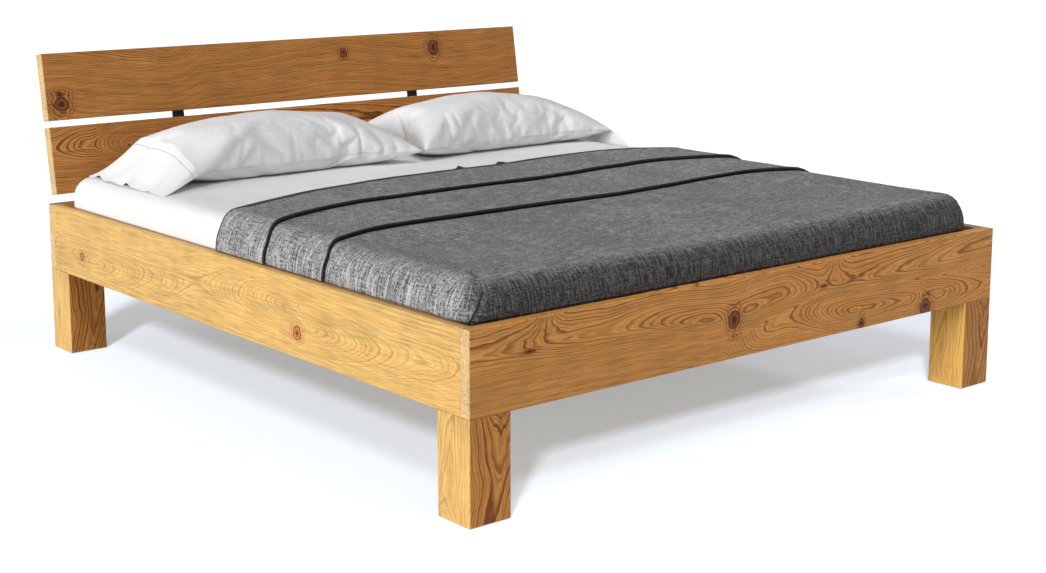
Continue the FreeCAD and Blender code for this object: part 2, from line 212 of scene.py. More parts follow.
# %% Lamps
def sun(name, turn, height, level, softness):
    """A far soft lamp. Turn is measured from the foot towards the left side, level is what a white
    card facing it would gain."""
    turn, height = math.radians(turn), math.radians(height)
    towards = Vector((
        -math.sin(turn) * math.cos(height), -math.cos(turn) * math.cos(height), math.sin(height)
    ))
    bpy.ops.object.light_add(type="SUN", location=towards * 8)
    lamp = bpy.context.object
    lamp.name = name
    lamp.rotation_euler = towards.to_track_quat("Z", "Y").to_euler()
    lamp.data.energy = level * math.pi
    lamp.data.angle = math.radians(softness)
    return lamp


bed_lamps = [
    sun("left_light", turn=90, height=10, level=0.74, softness=22),
    sun("front_left_light", turn=30, height=62, level=0.325, softness=26),
]
floor_lamps = [
    sun("low_floor_light", turn=49, height=27, level=0.79, softness=6),
    sun("high_floor_light", turn=40, height=44, level=0.32, softness=12),
    sun("right_floor_light", turn=-76, height=31, level=0.22, softness=8),
]
print("lamps", [lamp.name for lamp in bed_lamps + floor_lamps])

# %% Floor and its lamps
floor_size, floor_drop = 80.0, 0.0005
floor_glow, floor_grey = 0.35, (0.5, 0.5, 0.5, 1)
floor_colour_seen = (0.745, 0.832, 0.945, 1)

bpy.ops.mesh.primitive_plane_add(size=floor_size, location=(0, 0, -floor_drop))
floor = bpy.context.object
floor.name = "floor"
material, field, _ = new_material("pale_floor")
plain = field.node("BsdfDiffuse", {}, {"Color": floor_grey})
pale = field.node("BsdfDiffuse", {}, {"Color": floor_colour_seen})
glow = field.node("Emission", {}, {"Color": white, "Strength": floor_glow})
lit = field.node("AddShader", {}, {0: pale, 1: glow})
chosen = field.node("MixShader", {}, {0: seen_directly(field), 1: plain, 2: lit})
field.plug(field.tree.nodes["Material Output"].inputs, {"Surface": chosen})
field.tree.nodes.remove(field.tree.nodes["Principled BSDF"])
floor.data.materials.append(material)
for state, lamps in (("INCLUDE", floor_lamps), ("EXCLUDE", bed_lamps)):
    lit_things = bpy.data.collections.new("floor_" + state.lower())
    lit_things.objects.link(floor)
    lit_things.collection_objects[0].light_linking.link_state = state
    for lamp in lamps:
        lamp.light_linking.receiver_collection = lit_things
        print(lamp.name, state.lower() + "s the floor")

# %% [markdown]
# Pine is a stack of cones: each year's ring is a dark thin layer over a pale thick one, round a pith
# that wanders. A plank sawn beside the pith shows its rings as long ovals and flames, close together
# where the pith dives away, and a branch bends them round its knot. So the finish is a solid one: it
# works out the distance from the pith at every point of the plank, in the plank's own directions, and
# the faces and the end grain agree by themselves. Each plank's pith is given as two profiles along
# the grain: its place across the face, and its depth under it.

# %% Directions and piths of a plank
ring_gap = 0.0042


def plank_axes(tree, centre, across, outward):
    """Places in a plank, as fields: along the grain, across its face, and out of its face."""
    along = across.cross(outward)
    turn = Matrix((along, across, outward)).transposed().to_euler()
    place = tree.coordinates()
    inputs = {"Vector": place, "Location": centre, "Rotation": turn}
    local = tree.node("Mapping", {"vector_type": "TEXTURE"}, inputs)
    return place, local, [local.part(i) for i in range(3)]


def profile(along, stops):
    """A value that changes along the grain, with soft ways between (place, value) stops."""
    places, values = zip(*stops)
    first, low = places[0], min(values)
    length, height = places[-1] - first, max(max(values) - low, 1e-6)
    share = along.node("MapRange", {}, {"Value": along, "From Min": first, "From Max": places[-1]})
    grey = [((place - first) / length, ((value - low) / height,) * 3) for place, value in stops]
    return share.node("ValToRGB", {"stops": grey}, {"Fac": share}) * height + low


def distance_from(along, across, outward, pith):
    """The distance from one pith: its place across the face, its depth, how much wider the rings
    stand above and below it, and whether it lies beside the face instead of under it."""
    middle, depth, above, below, beside = pith
    if beside:
        across, outward = outward, across * -1.0
    aside = across - profile(along, middle)
    aside = aside * ((above + below) / 2) + aside.maths("ABSOLUTE") * ((above - below) / 2)
    sunk = outward + profile(along, depth)
    return (aside * aside + sunk * sunk) ** 0.5


print("pine rings", ring_gap * 1000, "mm apart")


# %% Rings and knots
pith_blend = 0.014
knot_pull = 0.8
draw_only = 8.0


def knot_fields(along, across, wander, knots):
    """How far the knots push the rings, and how near each point is to the nearest knot's middle. A
    knot just outside the plank draws the rings to itself: its push is negative, and little shows."""
    push, nearness = None, None
    for knot_along, knot_across, radius, stretch, lift in knots:
        side = (along - knot_along) / (radius * stretch)
        up = (across - knot_across) / radius
        distance = (side * side + up * up) ** 0.5
        pushed = (distance * -knot_pull).maths("EXPONENT") * (radius * lift)
        near = distance * (draw_only if lift < 0 else 1.0) + wander * 2.0
        push = pushed if push is None else push + pushed
        nearness = near if nearness is None else near.maths("MINIMUM", nearness)
    return push, nearness


def ring_fields(local, along, across, outward, piths, knots):
    """The share of late wood at each point, the ring's number, and the nearness of knots."""
    sway = grain(local, (2.2, 3.0, 3.0), 1.0) * 0.026
    wave = grain(local, (10.0, 44.0, 44.0), 2.0, 0.6)
    radius = None
    for pith in piths:
        distance = distance_from(along, across + sway, outward, pith)
        radius = distance if radius is None else radius.maths("SMOOTH_MIN", distance, pith_blend)
    push, nearness = knot_fields(along, across, wave, knots)
    radius = radius + wave * 0.0052
    if push is not None:
        radius = radius + push
    rings = radius / ring_gap
    uneven = rings + grain(rings.node("CombineXYZ", {}, {0: rings}), (0.35, 0.35, 0.35), 1.0) * 1.5
    phase = uneven.maths("FRACT")
    late = phase.rise(0.40, 0.86) * phase.rise(1.0, 0.93)
    thin = (uneven * 2.0 + 0.4).maths("FRACT")
    late = late.maths("MAXIMUM", thin.rise(0.5, 0.9) * thin.rise(1.0, 0.94) * 0.5)
    return late, uneven.maths("FLOOR"), nearness


# %% [markdown]
# The oil makes pine's pale wood honey-coloured and its late wood orange-brown. Each plank has its own
# tone, and the tones partly paint the light: faces turned to the left lamp get paler tones as painted
# light, and faces turned away get darker ones, partly as painted shade. Over the rings lie broad stripes
# of heartwood, fine fibres, and the knots with their dark bark line, rings and a small crack. One picture
# of wood could be wrapped round every plank, but it would repeat and break at the edges, so one function
# builds a tree of nodes for each plank.

# %% The colours of oiled pine
def knot_colour(colour, nearness, brown, knot):
    """Wood rings that swirl about the knot, its ragged rim, its own rings and a small crack."""
    red, dark = [min(1.0, tone * 2.6) for tone in knot], [tone * 0.40 for tone in knot]
    swirl = (nearness * 12.5).maths("SINE").rise(0.0, 0.7) * nearness.rise(2.7, 1.6)
    colour = mix_colours(swirl * 0.85, colour, [tone * 0.75 for tone in brown])
    colour = mix_colours(nearness.rise(1.5, 1.05) * 0.5, colour, red)
    rings = (nearness * 17.0).maths("SINE") * 0.4 + 0.45
    heart = mix_colours(rings, red, knot)
    colour = mix_colours(nearness.rise(1.12, 1.0), colour, dark)
    colour = mix_colours(nearness.rise(0.96, 0.84), colour, heart)
    return mix_colours(nearness.rise(0.48, 0.22), colour, dark)


def colour_of_pine(local, late, number, nearness, tones, contrast):
    """The plank's colour from its rings, stripes, fibres and knots."""
    pale, brown, red, knot = tones
    broad = grain(local, (1.3, 16.0, 16.0))
    stripe = grain(local, (2.2, 60.0, 60.0), 2.0, 0.6)
    fibre = grain(local, (9.0, 190.0, 190.0), 3.0, 0.7)
    shimmer = grain(local, (16.0, 8.0, 8.0))
    each = number.node("TexWhiteNoise", {"noise_dimensions": "1D"}, {"W": number})
    dark = late * (each * 0.8 + 0.45) * contrast
    colour = mix_colours(broad.rise(0.0, 0.30) * 0.55, pale, red)
    colour = mix_colours(dark + stripe * 0.5 + fibre * 0.55, colour, brown)
    colour = tinted(colour, shimmer * 0.30 + broad * 0.40 + stripe * 0.45 + fibre * 1.6 + 1.0)
    return colour if nearness is None else knot_colour(colour, nearness, brown, knot)


def dress(node, material):
    """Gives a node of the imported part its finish."""
    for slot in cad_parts[node].material_slots:
        slot.material = material


def oil(node, across, outward, tones, piths, knots=(), contrast=0.9, faces=()):
    """The finish of one plank or block. faces are the faces with tones of their own, painted light on
    some and painted shade on others: an axis, the face's place on it, the tones and how deep they
    reach, below 0 into the wood from above."""
    low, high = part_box(node)
    material, field, entries = new_material("pine_" + node)
    place, local, (along, side, out) = plank_axes(field, (low + high) / 2, across, outward)
    late, number, nearness = ring_fields(local, along, side, out, piths, knots)
    colour = colour_of_pine(local, late, number, nearness, tones, contrast)
    for axis, face_place, face_tones, depth in faces:
        skin = place.part(axis).rise(face_place + depth, face_place + depth / 2)
        own = colour_of_pine(local, late, number, nearness, face_tones, contrast * 0.8)
        colour = mix_colours(skin, colour, own)
    pores = grain(local, (14.0, 700.0, 700.0))
    field.plug(entries, {
        "Base Color": colour, "Roughness": 0.56 - late * 0.1 + pores * 0.12,
        "Normal": bump(late * 0.6 + pores * 0.8, 0.0003, 0.5), "Specular IOR Level": 0.2,
    })
    dress(node, material)
    print(material.name)


# %% Tones and faces of the boards
# Each tone is (pale early wood, brown late wood, red heartwood, knot). The honey tones are paler
# for faces turned to the left lamp, as painted light; amber, chestnut and umber are darker for faces
# turned away, partly as painted shade.
honey = ((0.770, 0.505, 0.172), (0.55, 0.265, 0.062), (0.70, 0.40, 0.120), (0.30, 0.105, 0.024))
warm_honey = ((1.0, 0.62, 0.175), (0.68, 0.30, 0.065), (0.96, 0.52, 0.130), (0.20, 0.07, 0.018))
amber = ((0.86, 0.405, 0.108), (0.31, 0.092, 0.020), (0.64, 0.25, 0.054), (0.15, 0.044, 0.012))
chestnut = ((0.71, 0.318, 0.082), (0.23, 0.068, 0.015), (0.50, 0.19, 0.042), (0.14, 0.042, 0.012))
umber = ((0.80, 0.350, 0.086), (0.24, 0.068, 0.014), (0.58, 0.22, 0.046), (0.13, 0.040, 0.012))
lit_end_grain = ((0.76, 0.54, 0.26), (0.52, 0.31, 0.12), (0.68, 0.43, 0.17), (0.22, 0.08, 0.02))
shaded_top = ((0.40, 0.20, 0.080), (0.22, 0.09, 0.030), (0.32, 0.145, 0.055), (0.08, 0.03, 0.01))
planed = ((0.80, 0.60, 0.36), (0.66, 0.42, 0.20), (0.74, 0.52, 0.28), (0.20, 0.08, 0.03))

LEFT_TO_RIGHT, DOWN_TO_UP = 0, 2
UP, ACROSS = Vector((0, 0, 1)), Vector((1, 0, 0))
FOOTWARD, HEADWARD = Vector((0, -1, 0)), Vector((0, 1, 0))
LEFTWARD, RIGHTWARD = Vector((-1, 0, 0)), Vector((1, 0, 0))
lean = math.radians(9.0)
LEAN_UP = Vector((0, math.sin(lean), math.cos(lean)))
LEAN_FRONT = Vector((0, -math.cos(lean), math.sin(lean)))

skin_depth, rim_depth = 0.0022, 0.024
frame_left, frame_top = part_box("foot_board")[0].x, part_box("foot_board")[1].z
# Painted light and shade on single faces: the end grain at the left ends is paler as painted light, the
# top faces are darker as painted shade, and the left rail's top keeps its lit tone over its outer 24 mm,
# as painted light.
left_end = (LEFT_TO_RIGHT, frame_left, lit_end_grain, skin_depth)
upper_edge = (DOWN_TO_UP, frame_top, shaded_top, -skin_depth)
lit_rim = (LEFT_TO_RIGHT, frame_left, honey, rim_depth)
plank_end = (LEFT_TO_RIGHT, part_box("headboard_plank_upper")[0].x, lit_end_grain, skin_depth)
print("frame's left", round(frame_left, 3), "and top", round(frame_top, 3))

# %% End boards and side rails
# A pith is (places across, depths, ring width above, below, beside), both profiles along the grain.
# A knot is (along, across, radius, stretch along the grain, push on the rings).
oil("foot_board", UP, FOOTWARD, amber, (
    (((-0.94, 0.040), (-0.45, 0.034), (-0.15, 0.006), (0.10, 0.034), (0.55, 0.037), (0.94, 0.060)),
     ((-0.94, 0.058), (-0.56, 0.038), (-0.20, 0.008), (0.04, 0.024), (0.22, 0.052), (0.94, 0.026)),
     0.90, 1.60, False),
    (((-0.94, -0.10), (-0.10, -0.05), (0.10, -0.025), (0.40, -0.045), (0.94, -0.050)),
     ((-0.94, 0.30), (-0.40, 0.20), (0.05, 0.062), (0.36, 0.010), (0.56, 0.022), (0.94, 0.070)),
     1.30, 1.30, False),
), (
    (-0.113, -0.006, 0.022, 0.75, 1.6), (-0.765, 0.026, 0.004, 3.6, 0.8),
    (-0.710, 0.106, 0.022, 0.8, -1.7), (0.217, 0.036, 0.004, 3.0, 0.8),
    (0.262, 0.106, 0.022, 0.8, -1.7), (0.372, -0.086, 0.014, 0.7, 1.6),
    (0.640, -0.082, 0.024, 0.8, 1.8),
), faces=(left_end,))
oil("head_end_board", UP, HEADWARD, amber, (
    (((-0.94, -0.02), (0.2, 0.03), (0.94, -0.01)),
     ((-0.94, 0.07), (-0.40, 0.03), (0.10, 0.075), (0.60, 0.028), (0.94, 0.05)), 1.1, 1.2, False),
), ((-0.52, 0.031, 0.012, 1.1, 1.7), (0.31, -0.05, 0.009, 1.3, 1.4)), faces=(left_end, upper_edge))
oil("side_rail_left", UP, LEFTWARD, honey, (
    (((-1.04, -0.010), (-0.75, -0.040), (-0.30, -0.016), (-0.10, 0.014), (0.25, 0.020), (0.45, -0.014),
      (1.04, 0.008)),
     ((-1.04, 0.062), (-0.80, 0.014), (-0.14, 0.092), (0.36, 0.012), (0.90, 0.080), (1.04, 0.095)),
     1.25, 1.15, False),
), (
    (-0.826, -0.034, 0.014, 1.1, 1.9), (0.353, -0.035, 0.015, 1.1, 2.0),
    (0.362, 0.033, 0.010, 1.5, -1.2),
), contrast=1.0, faces=(upper_edge, lit_rim))
oil("side_rail_right", UP, RIGHTWARD, amber, (
    (((-1.04, 0.02), (0.10, -0.03), (1.04, 0.03)),
     ((-1.04, 0.03), (-0.45, 0.09), (0.05, 0.03), (0.60, 0.08), (1.04, 0.04)), 1.2, 1.2, False),
), ((-0.45, 0.02, 0.011, 1.2, 1.6), (0.62, -0.04, 0.009, 1.3, 1.7)), faces=(upper_edge,))

# %% Headboard planks
oil("headboard_plank_upper", LEAN_UP, LEAN_FRONT, chestnut, (
    (((-0.93, 0.150), (-0.50, 0.128), (-0.34, 0.150), (0.10, 0.170), (0.60, 0.135), (0.93, 0.160)),
     ((-0.93, 0.060), (-0.58, 0.030), (-0.50, 0.012), (-0.36, 0.060), (0.35, 0.080), (0.93, 0.045)),
     1.0, 1.0, False),
), (
    (-0.872, -0.048, 0.024, 0.9, 2.0), (0.167, 0.045, 0.012, 1.0, 3.0),
    (0.550, 0.044, 0.021, 0.9, 2.2),
), contrast=1.0, faces=(plank_end,))
oil("headboard_plank_lower", LEAN_UP, LEAN_FRONT, chestnut, (
    (((-0.93, 0.040), (-0.68, 0.036), (-0.20, 0.060), (0.93, 0.02)),
     ((-0.93, 0.060), (-0.80, 0.042), (-0.60, -0.012), (-0.20, 0.050), (0.93, 0.070)),
     1.0, 1.25, False),
), ((-0.665, 0.026, 0.020, 1.1, -1.5), (0.40, -0.03, 0.010, 1.2, 1.6)), contrast=1.1, faces=(plank_end,))

# %% Legs, and the planed wood under the mattress
leg_drift = 0.007
# Each leg's left face gets a paler tone as painted light; the legs on the right, in the bed's shadow, get
# a warmer and brighter one.
for number, (name, tones, lit_tones) in enumerate((
    ("foot_left", umber, honey), ("foot_right", chestnut, warm_honey),
    ("head_left", umber, honey), ("head_right", chestnut, warm_honey),
)):
    node, drift = "leg_" + name, leg_drift * number
    oil(node, ACROSS, FOOTWARD, tones, (
        (((-0.20, 0.030 - drift), (0.20, 0.018 - drift)),
         ((-0.20, -0.010), (0.0, 0.012), (0.20, 0.050)), 1.0, 0.8, False),
        (((-0.20, -0.024 + drift), (0.20, -0.036 + drift)),
         ((-0.20, 0.060), (0.0, 0.030), (0.20, -0.008)), 0.8, 1.0, True),
    ), faces=((LEFT_TO_RIGHT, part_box(node)[0].x, lit_tones, skin_depth),))
for node, across, outward, depth in (
    ("ledge_left", UP, LEFTWARD, 0.05), ("ledge_right", UP, LEFTWARD, 0.05),
    ("centre_beam", UP, LEFTWARD, 0.05), ("centre_leg", ACROSS, FOOTWARD, 0.06),
    ("slats_left", HEADWARD, UP, 0.30), ("slats_right", HEADWARD, UP, 0.30),
):
    straight = (((-1.0, 0.012), (1.0, -0.006)), ((-1.0, depth), (1.0, depth * 1.3)), 1.0, 1.0, False)
    oil(node, across, outward, planed, (straight,), contrast=0.6)

# %% [markdown]
# The bars behind the headboard are flat steel with a black satin coat. The screws, bolts and beam
# hangers are zinc plated, brighter and a little mottled. Straps are woven, glides are grey felt. Small
# pieces need only a colour and a sheen that vary a little, so one loop makes all four finishes.

# %% Steel, webbing and felt
for name, colour, roughness, metallic, mottle, scale, nodes in (
    ("black_steel", (0.018, 0.017, 0.016), 0.45, 0.6, 0.5, 220.0,
     ("headboard_bracket_left", "headboard_bracket_right")),
    ("zinc_steel", (0.62, 0.64, 0.66), 0.34, 1.0, 0.25, 160.0,
     ("corner_bolts", "bracket_screws", "plank_screws", "ledge_screws", "hanger_screws",
      "centre_leg_bolt", "beam_hanger_foot", "beam_hanger_head")),
    ("grey_felt", (0.20, 0.19, 0.18), 0.95, 0.0, 0.6, 900.0, ("leg_glides",)),
    ("strap_webbing", (0.60, 0.57, 0.50), 0.85, 0.0, 0.35, 700.0,
     ("slat_straps_left", "slat_straps_right")),
):
    material, field, entries = new_material(name)
    spots = grain(field.coordinates(), (scale, scale, scale), 3.0, 0.6)
    field.plug(entries, {
        "Base Color": tinted(colour, spots * mottle + 1.0), "Roughness": spots * 0.15 + roughness,
        "Normal": bump(spots, 0.0002, 0.4), "Metallic": metallic,
    })
    for node in nodes:
        dress(node, material)
    print(name, "on", len(nodes), "nodes")

# %% [markdown]
# Everything on the mattress follows its form: flat on top, rounded at the edge, straight down the
# sides, round at the corners. A simulation could drape the cloths, but it wouldn't leave hems and folds
# at the places that the real bed has. So one function lays a flat point of cloth on that form. It keeps
# distances across an edge, and where two edges meet it gathers the cloth in the corner.

# %% The mattress's form
mattress_low, mattress_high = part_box("mattress")
mattress_middle = (mattress_low + mattress_high) / 2
half_width = (mattress_high.x - mattress_low.x) / 2
half_length = (mattress_high.y - mattress_low.y) / 2
mattress_top, mattress_bottom = mattress_high.z, mattress_low.z
edge_radius, corner_radius, right_rise = 0.055, 0.075, 0.009
core_width, core_length = half_width - corner_radius, half_length - corner_radius
flat_rim, edge_run = corner_radius - edge_radius, edge_radius * math.pi / 2


def limited(value, low=0.0, high=1.0):
    return max(low, min(high, value))


def smooth_share(value, low, high):
    """0 before low, 1 after high, and a smooth way between."""
    share = limited((value - low) / (high - low))
    return share * share * (3 - 2 * share)


def run_to(height):
    """How far a cloth's edge lies from the core when it hangs down the side to a height."""
    return flat_rim + edge_run + mattress_top - edge_radius - height


def rolled(distance):
    """How far a cloth has turned over the edge at a distance from the core, and how far it dropped."""
    roll = limited((distance - flat_rim) / edge_radius, 0.0, math.pi / 2)
    return roll, edge_radius * (1 - math.cos(roll)) + max(0.0, distance - flat_rim - edge_run)


def corner_direction(s, t):
    """The nearest place of the mattress's core, the distance from it, the turn and the way out."""
    core = Vector((limited(s, -core_width, core_width), limited(t, -core_length, core_length)))
    over_s, over_t = s - core.x, t - core.y
    away_s, away_t = abs(over_s), abs(over_t)
    distance = max(away_s, away_t)
    if distance < 1e-9:
        return core, 0.0, 0.0, Vector((0, 0))
    if away_s >= away_t:
        turn = math.pi / 4 * away_t / away_s
    else:
        turn = math.pi / 2 - math.pi / 4 * away_s / away_t
    way = Vector((math.copysign(math.cos(turn), over_s), math.copysign(math.sin(turn), over_t)))
    return core, distance, turn, way


def plumpness(s, t, height):
    """The padding stands a little higher along the right side, as far as the pillows."""
    towards_right = smooth_share(s, 0.10, 0.72) * smooth_share(t, 0.46, 0.20)
    return right_rise * towards_right * smooth_share(height - mattress_top, -0.070, -0.010)


def lay(s, t, lift):
    """The place of a cloth's point: s across and t along from the mattress's middle, at a height
    over the mattress's own surface."""
    core, distance, _, way = corner_direction(s, t)
    roll, drop = rolled(distance)
    out = min(distance, flat_rim) + edge_radius * math.sin(roll)
    flat = core + way * (out + lift * math.sin(roll))
    height = mattress_top - drop + lift * math.cos(roll)
    height += plumpness(s, t, height)
    return Vector((mattress_middle.x + flat.x, mattress_middle.y + flat.y, height))


print("mattress form", round(half_width * 2, 3), "x", round(half_length * 2, 3))


# %% Making a piece of cloth
def new_mesh_object(name, points, faces, material, body):
    """A smooth mesh in a look slot, on a body."""
    mesh = bpy.data.meshes.new(name)
    mesh.from_pydata(points, [], faces)
    mesh.update()
    piece = bpy.data.objects.new(name, mesh)
    bpy.context.scene.collection.objects.link(piece)
    mesh.materials.append(material)
    for polygon in mesh.polygons:
        polygon.use_smooth = True
    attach(piece, body)
    return piece


def pick(piece):
    """Makes a piece the active and only selected one."""
    bpy.ops.object.select_all(action="DESELECT")
    bpy.context.view_layer.objects.active = piece
    piece.select_set(True)


def finish_with(piece, kind, **settings):
    """Adds a modifier and applies it."""
    pick(piece)
    modifier = piece.modifiers.new(kind.lower(), kind)
    for name, value in settings.items():
        setattr(modifier, name, value)
    bpy.ops.object.modifier_apply(modifier=modifier.name)


def grid_faces(rows, columns):
    firsts = [row * columns + column for row in range(rows - 1) for column in range(columns - 1)]
    return [(first, first + 1, first + columns + 1, first + columns) for first in firsts]


def spaced(low, high, step):
    """Places from low to high, about a step apart."""
    count = max(1, round((high - low) / step))
    return [low + (high - low) * i / count for i in range(count + 1)]


def soft_noise(x, y, scale, seed):
    return noise.noise(Vector((x * scale, y * scale, seed)))


def bumps(place, spots):
    """The height of a line with a round bump at each spot: (place, height, width)."""
    return sum(height * math.exp(-((place - spot) / width) ** 2) for spot, height, width in spots)


print("cloth helpers ready")


# %% A cloth's own coordinates
def set_weave(piece, places):
    """Keeps the cloth's own coordinates on the mesh. places maps a vertex and a face to them."""
    layer = piece.data.uv_layers.new(name="weave")
    for polygon in piece.data.polygons:
        for corner in polygon.loop_indices:
            layer.data[corner].uv = places(piece.data.loops[corner].vertex_index, polygon)


def weave_place(s, t, over_side):
    """The cloth's own coordinates of a point, in metres, so that its threads keep their width: a
    crease at the corner parts the threads of the side from those of the end."""
    core, distance, turn, _ = corner_direction(s, t)
    if over_side:
        return (core.x + math.copysign(distance, s), core.y + math.copysign(corner_radius * turn, t))
    around = corner_radius * (math.pi / 2 - turn)
    return (core.x + math.copysign(around, s), core.y + math.copysign(distance, t))


def over_side_faces(cells):
    """For each face of a laid grid, whether its middle belongs to a side rather than to an end."""
    def test(polygon):
        s, t = [sum(cells[v][i] for v in polygon.vertices) / len(polygon.vertices) for i in range(2)]
        return abs(s) - core_width >= abs(t) - core_length
    return test


print("cloth coordinates ready")

# %% [markdown]
# The mattress itself shows only when it is lifted out: its ticking is quilted in diamonds. It is a box
# with rounded corners and edges, made by bevels. The quilting is shallow, so two crossing waves of a
# bump make it, and the box stays light.

# %% Ticking
quilt_step = 0.11
ticking, field, entries = new_material("quilted_ticking")
place = field.coordinates()
x, y = place.part(0), place.part(1)
first, second = [(way / quilt_step).maths("PINGPONG", 0.5) for way in (x + y, x - y)]
puff = (first * second).rise(0.0, 0.14)
thread = grain(place, (900.0, 900.0, 900.0), 1.0)
field.plug(entries, {
    "Base Color": mix_colours(puff, (0.62, 0.59, 0.53), (0.80, 0.78, 0.73)), "Roughness": 0.9,
    "Normal": bump(puff + thread * 0.05, 0.006),
})
print("ticking", ticking.name)

# %% Mattress
under_easing, touch = 0.012, 1e-4


def select_edges(piece, wanted):
    """Selects the edges whose two ends' heights pass a test, and nothing else."""
    bpy.ops.mesh.select_mode(type="EDGE")
    bpy.ops.mesh.select_all(action="DESELECT")
    for edge in bmesh.from_edit_mesh(piece.data).edges:
        if wanted(*[end.co.z for end in edge.verts]):
            edge.select = True
    bmesh.update_edit_mesh(piece.data)


bpy.ops.object.select_all(action="DESELECT")
bpy.ops.mesh.primitive_cube_add(size=1.0, location=mattress_middle)
mattress = bpy.context.object
mattress.name = "mattress_body"
mattress.scale = mattress_high - mattress_low
bpy.ops.object.transform_apply(location=True, rotation=True, scale=True)
bpy.ops.object.mode_set(mode="EDIT")
for radius, segments, wanted in (
    (corner_radius, 8, lambda one, other: abs(one - other) > edge_radius),
    (edge_radius, 8, lambda one, other: min(one, other) > mattress_top - touch),
    (under_easing, 3, lambda one, other: max(one, other) < mattress_bottom + touch),
):
    select_edges(mattress, wanted)
    bpy.ops.mesh.bevel(offset=radius, segments=segments)
bpy.ops.object.mode_set(mode="OBJECT")
bpy.ops.object.shade_smooth()
mattress.data.materials.append(ticking)
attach(mattress, "mattress")
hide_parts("mattress")
print("mattress", [round(d, 3) for d in mattress.dimensions])

# %% [markdown]
# The white cotton of the sheet and the pillowcases is a fine plain weave with soft creases left from
# folding, whose hollows are painted with shade. It reads the cloth's own coordinates in metres, so the
# threads are as wide on a pillow as on the sheet, and a seam stays on its hem wherever the cloth goes.

# %% White cotton
cotton_thread, seam_grey = 0.0011, (0.22, 0.22, 0.23)
panel_width, panel_depth = 0.862, 0.560


def woven(field, thread_gap):
    """A cloth's own coordinates in metres, and the height of a plain weave's threads."""
    weave = field.coordinates("UV")
    warp, weft = [(weave.part(i) * (2 * math.pi / thread_gap)).maths("SINE") for i in range(2)]
    return weave, warp * weft


def white_cotton(name, colour, shade_colour, crease_depth, seam=None):
    """Woven cotton. Its seam, if it has one, is an axis of the cloth and a place on it."""
    material, field, entries = new_material(name)
    weave, threads = woven(field, cotton_thread)
    bend = grain(weave, (7.0, 9.0, 1.0), 1.0)
    creases = grain(weave, (9.0, 5.0, 1.0), 3.0)
    wrinkle = grain(weave, (15.0, 11.0, 1.0), 1.0) + bend * 0.4
    sharp = wrinkle.maths("ABSOLUTE").rise(0.07, 0.0) * creases.rise(-0.05, 0.2)
    slubs = grain(weave, (60.0, 700.0, 1.0))
    # Painted shade: the hollows of the creases take the shade colour.
    colour = mix_colours(creases.rise(-0.35, 0.25), shade_colour, colour)
    colour = mix_colours(slubs.rise(0.0, 0.4) * 0.5, colour, [tone * 0.88 for tone in shade_colour])
    height = threads * 0.02 + creases - sharp * 0.07
    if seam is not None:
        axis, seam_place = seam
        stitch = (weave.part(axis).maths("ABSOLUTE") - seam_place).maths("ABSOLUTE")
        colour = mix_colours(stitch.rise(0.0022, 0.0006) * 0.5, colour, seam_grey)
        height = height - stitch.rise(0.006, 0.0) * 0.15
    field.plug(entries, {
        "Base Color": colour, "Roughness": 0.85, "Sheen Weight": 0.12,
        "Normal": bump(height, crease_depth),
    })
    print(name)
    return material


sheet_cotton = white_cotton("sheet_cotton", (0.93, 0.93, 0.93), (0.86, 0.86, 0.87), 0.004)
pillow_cotton = white_cotton(
    "pillow_cotton", (0.93, 0.93, 0.93), (0.85, 0.85, 0.86), 0.005, seam=(1, panel_depth / 2)
)
# The case's open ends get a paler copy of the pillow's cotton, as painted light.
lit_mouth_cotton = white_cotton(
    "case_mouth_cotton", (0.98, 0.98, 0.98), (0.90, 0.90, 0.91), 0.004, seam=(0, 0.030)
)

# %% [markdown]
# The fitted sheet is pulled over the mattress. It is laid over the form as a grid, gathered at the
# corners, with faint waves along the sides and a few long folds before the pillows. Only the part that
# shows needs fine cells, so the rows are wide under the blanket, and the sheet lies flat there.

# %% Fitted sheet: its folds and ripples
sheet_thickness, sheet_lift, least_ripple = 0.0008, 0.0006, 0.0016
gather_height, crease_height = 0.0035, 0.0030
broad_wave, fine_wave, fold_snake = 0.0022, 0.0012, 0.008
# A long fold of the sheet is (middle s, middle t, slope, half length, width, height).
sheet_folds = ((-0.08, 0.338, 0.10, 0.52, 0.016, 0.0060), (-0.40, 0.375, 0.02, 0.30, 0.020, 0.0035),
               (0.30, 0.372, 0.16, 0.34, 0.014, 0.0040), (-0.56, 0.40, -0.35, 0.16, 0.012, 0.0030))


def long_folds(s, t):
    rise = 0.0
    for middle_s, middle_t, slope, reach, width, height in sheet_folds:
        along = (s - middle_s) / reach
        away = (t - middle_t - slope * (s - middle_s) - fold_snake * math.sin(s * 9)) / width
        if abs(along) < 1:
            rise += height * (1 - along * along) ** 2 * math.exp(-away * away)
    return rise


def sheet_ripple(s, t):
    """Soft waves of the sheet: gathers at the corners and shallow folds down the sides."""
    _, distance, turn, _ = corner_direction(s, t)
    down = max(0.0, distance - flat_rim) / 0.2
    gather = 0.0
    if abs(s) > core_width and abs(t) > core_length:
        gather = gather_height * down * (0.5 + 0.5 * math.sin(turn * 26.0))
    wave = broad_wave * soft_noise(s + 3, t, 3.2, 1.7)
    wave += fine_wave * soft_noise(s * 1.6 + t, t - s, 6.0, 4.1)
    crease = crease_height * max(0.0, 0.5 - abs(soft_noise(s * 0.8 + t, t * 3.4, 2.4, 6.6)) * 7)
    return max(0.0, gather + wave + crease + least_ripple) + long_folds(s, t)


print("sheet folds", len(sheet_folds))

